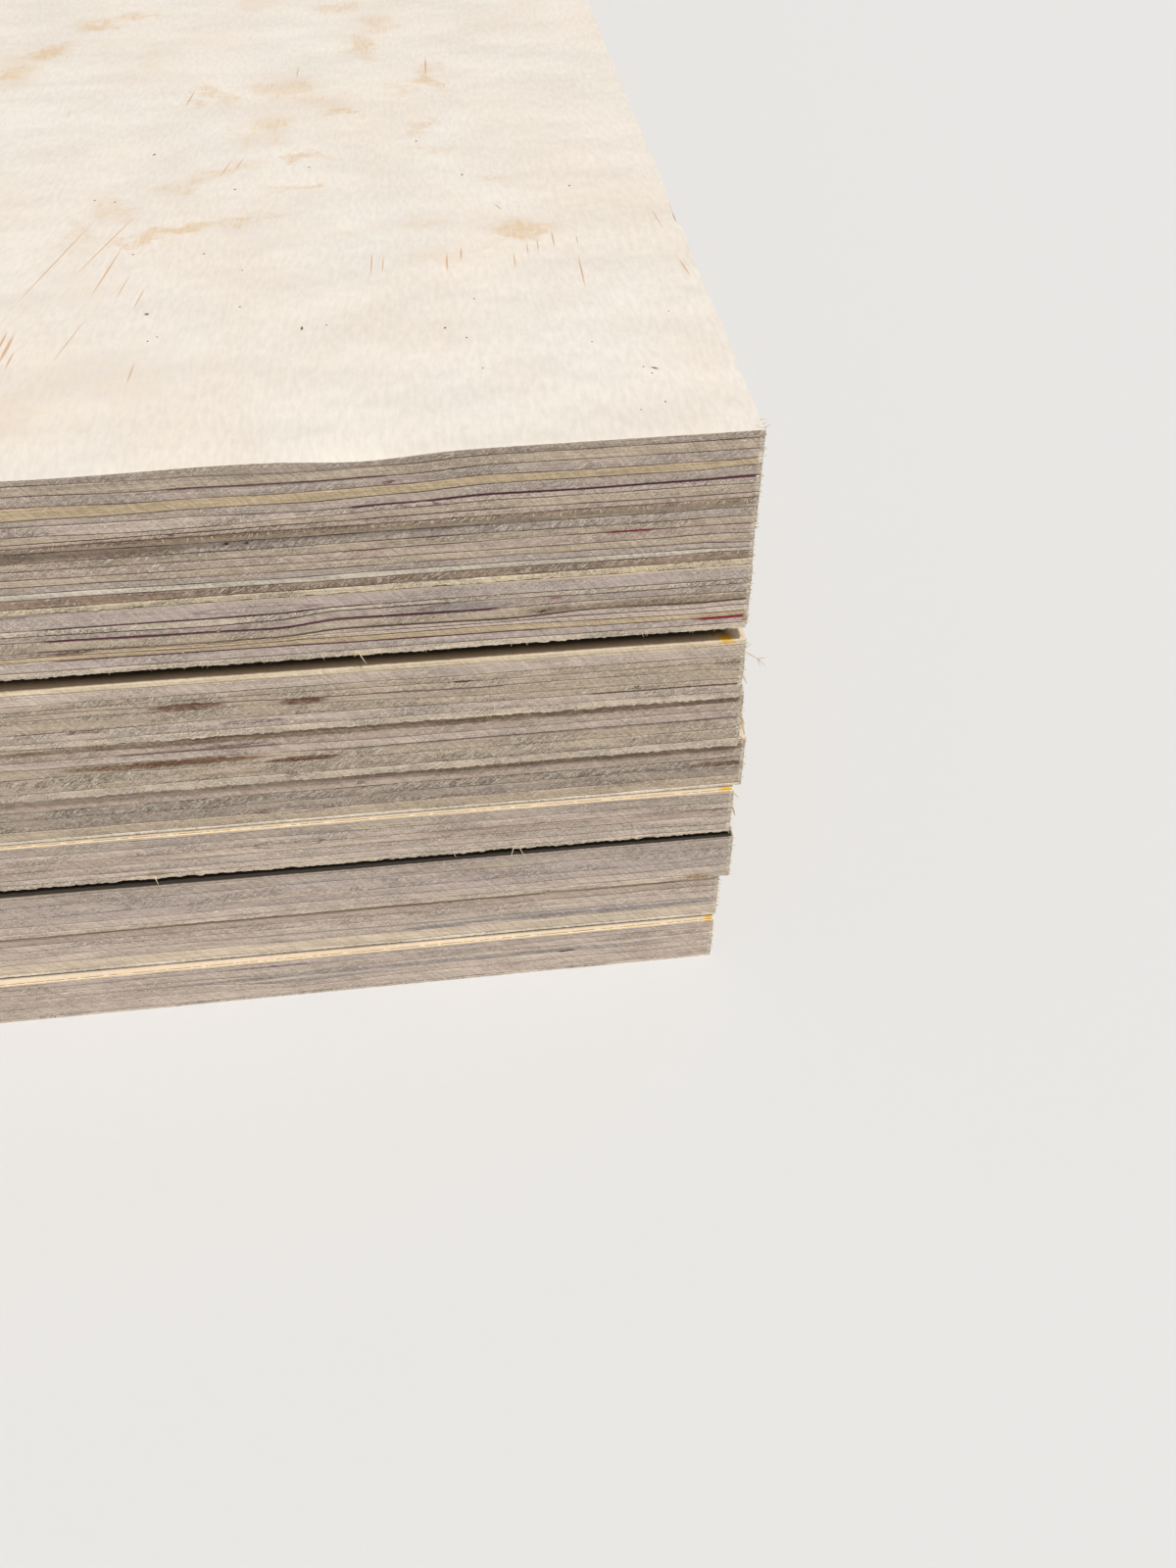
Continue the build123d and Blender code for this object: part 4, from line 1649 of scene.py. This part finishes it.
def face_material(
    name, seed, base, stains=(), scratches=(), specks=(), paint=(), near_clear=False, cover=None, seam=0.0
):
    """The material of a veneer face.

    Near_clear keeps random stains away from the front right corner, where they are listed one by one.
    Cover says how the sheet above lies on this one: its corner, its turn, and where, in from its outline,
    the painted shade under it begins and is full. Seam is how far in from its own edge a face is bare
    and yellow.
    """
    material = bpy.data.materials.new(name)
    material.use_nodes = True
    tree = material.node_tree
    shader = tree.nodes["Principled BSDF"]
    uv = put(tree, "ShaderNodeUVMap", uv_map="edge").outputs["UV"]
    place = vector_maths(tree, "MULTIPLY", uv, PER_MM)
    figure = use(tree, veneer, Place=place, Seed=seed)
    warm = ramped(tree, figure["Cloud"], 0.30, 0.70)
    colour = blended(tree, warm, base, tuple(b * k for b, k in zip(base, WARM_TINT)))
    grain = ramped(tree, figure["Grain"], 0.25, 0.75, 0.98, 1.015)
    fleck_and_quilt_shade = ramped(tree, figure["Fleck"], 0.30, 0.70, 0.94, 1.035)
    # Painted shade and highlight of the quilted swell: the colour follows the quilt pattern that also drives
    # the bump.
    fleck_and_quilt_shade = maths(tree, "MULTIPLY", fleck_and_quilt_shade, ramped(tree, figure["Quilt"], 0.28, 0.72, 0.95, 1.025))
    colour = blended(tree, 1.0, colour, maths(tree, "MULTIPLY", grain, fleck_and_quilt_shade), "MULTIPLY")
    away = 1.0
    if near_clear:
        reach = vector_maths(tree, "MULTIPLY", place, (1.6, 1.0, 1.0))
        reach = put(tree, "ShaderNodeVectorMath", {0: reach}, operation="LENGTH").outputs["Value"]
        away = ramped(tree, reach, CLEAR_UNTIL, STRAY_FROM)
    broad = ramped(tree, figure["Cloud"], 0.54, 0.70)
    stripes = ramped(tree, figure["Fleck"], 0.40, 0.62, 0.30, 1.0)
    clouded = maths(tree, "MULTIPLY", broad, stripes)
    strays = [(clouded, 0.40, "stain"), (figure["Streak"], 0.55, "resin"), (figure["Speck"], 0.8, "umber")]
    for mask, share, tone in strays:
        stray = maths(tree, "MULTIPLY", maths(tree, "MULTIPLY", mask, away), share)
        colour = blended(tree, stray, colour, TONES[tone])
    if stains:
        warp = noise(tree, place, 0.07, 5.0, 0.72, output="Color")
        shift = vector_maths(tree, "SUBTRACT", warp, (0.5, 0.5, 0.5))
        warped = vector_maths(tree, "MULTIPLY_ADD", shift, STAIN_WARP, place)
        masks = []
        for stain in stains:
            sizes = (stain.half_width, stain.half_length)
            turn = math.atan(stain.lean)
            masks.append(oval(tree, warped, (stain.left, stain.back), sizes, turn, (0.0, 1.75), stain.strength))
        covered = strongest(tree, masks)
        feathers = maths(tree, "MULTIPLY_ADD", maths(tree, "SUBTRACT", figure["Fleck"], 0.5), 2.1, covered)
        feathers = maths(tree, "MULTIPLY_ADD", maths(tree, "SUBTRACT", figure["Grain"], 0.5), 1.5, feathers)
        feathers = ramped(tree, feathers, 0.10, 1.20, 0.06, 0.74)
        stained = maths(tree, "MULTIPLY", feathers, ramped(tree, covered, 0.0, 0.55))
        colour = blended(tree, stained, colour, TONES["stain"])
    for tone, group, strength in (("resin", scratches, 0.7), ("umber", specks, 1.0), ("paint", paint, 1.0)):
        masks = []
        for one in group:
            sizes = (one.half_width, one.half_length)
            turn = -math.atan(one.lean)
            masks.append(oval(tree, place, (one.left, one.back), sizes, turn, (0.3, 1.1), strength))
        if masks:
            colour = blended(tree, strongest(tree, masks), colour, TONES[tone])
    if seam:
        inward = inward_of(tree, place)
        colour = blended(tree, ramped(tree, inward, seam, seam * 0.7), colour, TONES["butter"])
        off_seam = maths(tree, "ABSOLUTE", maths(tree, "SUBTRACT", inward, seam))
        dashes = ramped(tree, noise(tree, place, 0.35, 3.0, 0.7), 0.40, 0.52, 0.0, 0.8)
        broken_line = maths(tree, "MULTIPLY", ramped(tree, off_seam, 0.22, 0.08), dashes)
        colour = blended(tree, broken_line, colour, TONES["hollow"])
    # Painted shade: under the sheet above, the face's colour is darkened from where the shade begins to where
    # it is full.
    if cover:
        corner, turn, painted_shade_from, painted_shade_to = cover
        feeds = {"Vector": place, "Location": (corner.x / MM, corner.y / MM, 0.0), "Rotation": (0.0, 0.0, turn)}
        on_above = put(tree, "ShaderNodeMapping", feeds, vector_type="TEXTURE").outputs[0]
        painted_shade_factor = ramped(tree, inward_of(tree, on_above), painted_shade_from, painted_shade_to, 1.0, DARKEST_PAINTED_SHADE)
        colour = blended(tree, 1.0, colour, painted_shade_factor, "MULTIPLY")
    tree.links.new(colour, shader.inputs["Base Color"])
    tree.links.new(ramped(tree, figure["Grain"], 0.3, 0.7, 0.62, 0.50), shader.inputs["Roughness"])
    shader.inputs["Specular IOR Level"].default_value = SANDED_SPECULAR
    bump = put(tree, "ShaderNodeBump", {"Height": figure["Height"], "Strength": 0.8, "Distance": 0.55 * MM})
    tree.links.new(bump.outputs["Normal"], shader.inputs["Normal"])
    print(material.name, "has", len(tree.nodes), "nodes")
    return material


# %% [markdown]
# The top face, the undersides and the hidden faces are three uses of it. Yellow paint that was
# brushed across the corners of the stack got onto three of the faces.

# %% The faces
CREAM_FACE = wood(239, 231, 221)
HIDDEN_FACE = wood(231, 213, 190)
UNDER_FACE = wood(236, 216, 184)
top_face = face_material("top_veneer", 1.0, CREAM_FACE, STAINS, SCRATCHES, SPECKS, near_clear=True)
under_face = face_material("underside_veneer", 3.0, UNDER_FACE)

PAINT = {
    4: [Scratch(5.0, 1.6, 2.4, 0.4, 2.6), Scratch(8.0, 3.2, 0.9, 0.8, 1.1)],
    7: [Scratch(2.2, 0.6, 1.3, 0.0, 2.6)],
    10: [Scratch(1.5, 0.8, 1.6, 0.0, 1.6)],
}

# By the sheet's number: the bare yellow strip, and where the painted shade under the sheet above
# begins and is full. Where it begins outside the outline of that sheet, it darkens the strip that shows.
SEAMS = {7: 0.45, 10: 0.4}
PAINTED_SHADE_REACH = {4: (1.2, 5.4), 7: (-0.9, 0.3), 8: (-1.5, -0.5), 10: (-0.9, 0.3)}
USUAL_PAINTED_SHADE_REACH = (-0.35, 0.4)


def cover_of(own, above, dark):
    """How the sheet above lies on this one, as seen from this sheet's own corner."""
    # The last two values are where the painted shade under the sheet above begins and is full.
    offset = Matrix.Rotation(-own.turn, 3, "Z") @ (above.corner - own.corner)
    return offset, above.turn - own.turn, *dark


print("faces with paint:", sorted(PAINT), "faces with a bare strip:", sorted(SEAMS))

# %% [markdown]
# ## Loose fibres and splinters
#
# A saw doesn't cut every fibre. Some are left hanging from the lower arris, some stand out at the
# corner, and a few longer splinters break out and fork. Each is a thin cone with five sides, cut
# into three lengths so that it can bend. The ones that show in the photograph are listed, the rest
# are strewn at random: close together and short near that corner, fewer and longer further off.

# %% The slivers that show


class Fibre(NamedTuple):
    """A sliver, in millimetres: where it grows from the edge, its length, and where it points.

    Toward is right, forward and up, as seen from the front. Forks grow from the tip.
    """

    at: float
    down: float
    length: float
    toward: tuple
    thick: float = 0.25
    bend: float = 0.15
    forks: tuple = ()


FORKS = (((1, 0, 0.3), 2.6), ((1, 0.3, -0.8), 3.4), ((0.4, 0.3, -1), 2.8))
FIBRES = {
    1: [
        Fibre(-1.5, 0.3, 1.8, (1.0, 0.3, 0.9)),
        Fibre(-3.2, 0.4, 1.4, (1.0, -0.2, 0.7)),
        Fibre(-5.0, 0.3, 1.6, (1.0, 0.1, 0.3)),
        Fibre(-0.4, 14.0, 1.2, (1.0, 0.2, -0.4)),
    ],
    2: [Fibre(-0.6, 7.0, 1.0, (1.0, 0.3, 0.2)), Fibre(-0.5, 15.5, 1.3, (1.0, 0.1, -0.5))],
    3: [
        Fibre(95.8, 17.8, 4.0, (0.5, 0.6, -1.0), 0.35, 0.2),
        Fibre(80.6, 17.8, 1.6, (0.3, 0.6, -1.0)),
        Fibre(1.2, 15.6, 3.2, (0.05, 0.12, 1.0), 0.4, 0.02),
        Fibre(-0.5, 16.8, 1.4, (1.0, 0.2, -0.6)),
    ],
    4: [
        Fibre(-0.7, 4.2, 4.4, (1.0, 0.3, -0.5), 0.42, 0.1, FORKS),
        Fibre(-0.9, 3.2, 2.7, (1.0, 0.1, 0.55), 0.3, -0.2),
        Fibre(-0.5, 1.6, 1.6, (0.9, 0.2, 0.8)),
        Fibre(-1.0, 12.0, 3.4, (0.5, 0.4, -1.0), 0.7, 0.1),
        Fibre(-0.6, 16.2, 1.6, (1.0, 0.1, -0.6)),
    ],
    5: [
        Fibre(-0.6, 6.0, 1.4, (1.0, 0.3, 0.6)),
        Fibre(-0.8, 7.2, 1.8, (1.0, 0.1, -0.2)),
        Fibre(-0.5, 8.0, 1.2, (1.0, 0.4, -0.6)),
        Fibre(-1.1, 9.4, 7.0, (0.26, 0.12, -1.0), 1.0, 0.05),
        Fibre(-0.6, 9.0, 3.4, (0.5, 0.2, -1.0), 0.4, 0.1),
    ],
    6: [Fibre(-0.4, 9.5, 1.2, (1.0, 0.2, -0.7)), Fibre(-0.6, 16.0, 1.0, (1.0, 0.2, -0.8))],
    7: [
        Fibre(-0.6, 1.0, 3.4, (0.55, 0.2, -1.0), 0.3, 0.05),
        Fibre(-1.4, 1.6, 3.6, (0.75, 0.3, -1.0), 0.3, -0.1),
        Fibre(-0.9, 6.4, 5.0, (0.3, 0.15, -1.0), 0.75, 0.05),
        Fibre(61.2, 16.0, 4.6, (0.35, 0.6, -1.0), 0.3, 0.15),
        Fibre(62.8, 16.0, 4.2, (-0.25, 0.7, -1.0), 0.3, -0.2),
        Fibre(163.7, 16.2, 3.2, (0.1, 0.6, -1.0), 0.3),
        Fibre(80.0, 16.2, 2.2, (0.3, 0.6, -1.0)),
    ],
    8: [Fibre(-0.5, 4.6, 1.6, (1.0, 0.2, 0.1), 0.35), Fibre(-0.4, 12.0, 1.2, (1.0, 0.2, -0.5))],
    9: [Fibre(-0.5, 2.0 + 1.7 * k, 1.5, (1.0, 0.3, -0.5 + 0.2 * (k % 3)), 0.28) for k in range(8)],
    10: [Fibre(-0.4, 3.0 + 2.4 * k, 1.1, (1.0, 0.2, -0.3 + 0.2 * (k % 2))) for k in range(6)],
}
print(sum(len(listed) for listed in FIBRES.values()), "slivers listed")

# %% [markdown]
# A cone from Blender's own operator, cut twice across and bent by moving its points, is all a
# sliver needs. It is turned to where it points and moved to its root.

# %% Grow one sliver
SLIVER_SIDES = 5
SLIVER_CUTS = (0.35, 0.7)
ROOT_SHARE, TIP_SHARE = 0.65, 0.12


def add_sliver(bm, root, toward, length, thick, bend):
    """Adds one tapering, bent sliver, grown from a root, and returns the place of its tip."""
    before = len(bm.verts)
    size = {"radius1": thick * ROOT_SHARE, "radius2": thick * TIP_SHARE, "depth": length}
    made = bmesh.ops.create_cone(bm, cap_ends=True, segments=SLIVER_SIDES, **size)
    bmesh.ops.translate(bm, vec=(0, 0, length / 2), verts=made["verts"])
    for share in SLIVER_CUTS:
        bm.verts.ensure_lookup_table()
        verts = bm.verts[before:]
        edges = {e for v in verts for e in v.link_edges}
        faces = {f for v in verts for f in v.link_faces}
        geometry = list(verts) + list(edges) + list(faces)
        cut = {"plane_co": (0, 0, length * share), "plane_no": (0, 0, 1), "dist": 1e-9}
        bmesh.ops.bisect_plane(bm, geom=geometry, **cut)
    bm.verts.ensure_lookup_table()
    verts = bm.verts[before:]
    for v in verts:
        v.co.x += bend * v.co.z**2 / length
    turn = Vector((0, 0, 1)).rotation_difference(toward)
    bmesh.ops.rotate(bm, verts=verts, cent=(0, 0, 0), matrix=turn.to_matrix())
    bmesh.ops.translate(bm, vec=root, verts=verts)
    return root + turn @ Vector((bend * length, 0, length))


print("a sliver has", SLIVER_SIDES * (len(SLIVER_CUTS) + 1) + 2, "faces")

# %% [markdown]
# The random slivers of a sheet are drawn from one seeded generator, so they are the same each time.

# %% Strew and gather the slivers
CORNER_HAIRS, FRONT_FUZZ, FRONT_HAIRS, FAR_HAIRS = 34, 40, 26, 110

# How far along the front the fuzz reaches, and how deep a sliver is rooted, in millimetres
FRONT_REACH = 185
ROOT_DEPTH = 0.35


def strewn(number, sheet):
    """The random fibres of one sheet: hairs at the corner, fuzz under the front, and a few all round."""
    rng = np.random.default_rng(300 + number)
    found = []
    for _ in range(CORNER_HAIRS):
        toward = (1.0, rng.uniform(-0.4, 0.5), rng.uniform(-0.8, 0.3))
        found.append(Fibre(-rng.uniform(0.1, 2.5), rng.uniform(0.8, 17.4), rng.uniform(0.4, 1.3), toward, 0.3))
    for _ in range(FRONT_FUZZ):
        toward = (rng.uniform(-0.9, 0.9), rng.uniform(0.2, 0.7), -1.0)
        length = rng.uniform(0.4, 1.0) + max(sheet.hang, 0)
        down = 17.9 + 1.6 * min(sheet.hang, 0)
        found.append(Fibre(rng.uniform(1, FRONT_REACH), down, length, toward, 0.22, rng.uniform(-0.4, 0.4)))
    for _ in range(FRONT_HAIRS):
        toward = (rng.uniform(-1, 1), rng.uniform(0.1, 0.4), rng.uniform(-0.5, 0.6))
        found.append(Fibre(rng.uniform(1, FRONT_REACH), rng.uniform(2, 16), rng.uniform(0.5, 1.1), toward, 0.2))
    for _ in range(FAR_HAIRS):
        at = rng.uniform(FRONT_REACH + 5, PERIMETER / MM - 12)
        toward = (rng.uniform(-1, 1), rng.uniform(0.3, 0.9), -1.0)
        down = rng.choice([17.8, 17.8, rng.uniform(1, 17)])
        found.append(Fibre(at, down, rng.uniform(0.8, 2.4), toward, 0.35))
    return found


def edge_point(at, down):
    """A place on the sheet's edge and the direction to the right along it, in the blank's own place."""
    at = at * MM if at > 0 else PERIMETER + at * MM
    z = THICK - down * MM
    if at < WIDTH:
        return Vector((-at, 0, z)), Vector((1, 0, 0))
    if at < WIDTH + LENGTH:
        return Vector((-WIDTH, at - WIDTH, z)), Vector((0, -1, 0))
    if at < 2 * WIDTH + LENGTH:
        return Vector((at - 2 * WIDTH - LENGTH, LENGTH, z)), Vector((-1, 0, 0))
    return Vector((0, PERIMETER - at, z)), Vector((0, 1, 0))


def make_fibres(number, sheet, lay):
    """All the fibres of a sheet as one mesh, laid down with the sheet."""
    bm = bmesh.new()
    up = Vector((0, 0, 1))
    for fibre in FIBRES[number] + strewn(number, sheet):
        root, right = edge_point(fibre.at, fibre.down)
        if -6.0 < fibre.at < 0:
            right = Vector((1, 0, 0))
        forward = up.cross(right) * -1.0
        toward = (right * fibre.toward[0] + forward * fibre.toward[1] + up * fibre.toward[2]).normalized()
        root = root - toward * ROOT_DEPTH * MM
        tip = add_sliver(bm, root, toward, fibre.length * MM, fibre.thick * MM, fibre.bend)
        for bough, length in fibre.forks:
            aim = Vector((bough[0], -bough[1], bough[2])).normalized()
            add_sliver(bm, tip - aim * 0.15 * MM, aim, length * MM, 0.22 * MM, 0.15)
    mesh = bpy.data.meshes.new(f"loose_fibres_{number:02d}")
    bm.to_mesh(mesh)
    bm.free()
    points = np.empty(len(mesh.vertices) * 3)
    mesh.vertices.foreach_get("co", points)
    mesh.vertices.foreach_set("co", lay_down(points.reshape(-1, 3), lay).ravel())
    mesh.polygons.foreach_set("use_smooth", np.ones(len(mesh.polygons), dtype=bool))
    return mesh


print("slivers strewn on each sheet:", CORNER_HAIRS + FRONT_FUZZ + FRONT_HAIRS + FAR_HAIRS)

# %% [markdown]
# Loose fibres are pale where they are thin and clean. One material does for all of them.

# %% Fibre material
fibre_material = bpy.data.materials.new("loose_fibre")
fibre_material.use_nodes = True
fibre_tree = fibre_material.node_tree
fibre_place = put(fibre_tree, "ShaderNodeTexCoord").outputs["Object"]
fibre_noise = noise(fibre_tree, fibre_place, 260.0, 2.0, 0.6)
fibre_tone = blended(fibre_tree, ramped(fibre_tree, fibre_noise, 0.35, 0.65), TONES["tan"], TONES["cream"])
fibre_shader = fibre_tree.nodes["Principled BSDF"]
fibre_tree.links.new(fibre_tone, fibre_shader.inputs["Base Color"])
fibre_tree.links.new(ramped(fibre_tree, fibre_noise, 0.3, 0.7, 0.7, 0.9), fibre_shader.inputs["Roughness"])
fibre_shader.inputs["Specular IOR Level"].default_value = BARE_WOOD_SPECULAR
fibre_strands = noise(fibre_tree, fibre_place, 2400.0, 2.0, 0.5)
fibre_feeds = {"Height": fibre_strands, "Strength": 0.4, "Distance": 0.05 * MM}
fibre_bump = put(fibre_tree, "ShaderNodeBump", fibre_feeds)
fibre_tree.links.new(fibre_bump.outputs["Normal"], fibre_shader.inputs["Normal"])
print(fibre_material.name, "has", len(fibre_tree.nodes), "nodes")

# %% [markdown]
# ## Ten sheets
#
# Each sheet is a copy of a blank, shaped by its own layout and laid where the frame says. It takes
# the place of the plain sheet of the same number.

# %% Make the sheets


def place_piece(name, mesh, node=None):
    """Makes an object of a mesh that already lies in its place. It may stand in for a node of the frame."""
    piece = bpy.data.objects.new(name, mesh)
    bpy.context.scene.collection.objects.link(piece)
    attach(piece, "root")
    if node:
        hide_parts(node)


for number, (node, sheet) in enumerate(zip(sheet_names, SHEETS), start=1):
    mesh = (top_blank if number == 1 else blank).copy()
    mesh.name = f"dressed_sheet_{number:02d}"
    mesh.materials.append(edge_material(sheet, number))
    if number == 1:
        mesh.materials.append(top_face)
    else:
        cover = cover_of(lays[node], lays[sheet_names[number - 2]], PAINTED_SHADE_REACH.get(number, USUAL_PAINTED_SHADE_REACH))
        extras = {"paint": PAINT.get(number, ()), "seam": SEAMS.get(number, 0.0)}
        inner = face_material(f"inner_veneer_{number:02d}", float(number), HIDDEN_FACE, cover=cover, **extras)
        mesh.materials.append(inner)
    mesh.materials.append(under_face)
    below = lays[sheet_names[number]] if number < len(sheet_names) else None
    furthest = shape_sheet(mesh, sheet, number, lays[node], below)
    mesh.set_sharp_from_angle(angle=math.radians(20))
    place_piece(mesh.name, mesh, node)
    fibres = make_fibres(number, sheet, lays[node])
    fibres.materials.append(fibre_material)
    place_piece(fibres.name, fibres)
    print(mesh.name, "relief mm", [round(push / MM, 2) for push in furthest])
    print(fibres.name, len(fibres.polygons), "faces")
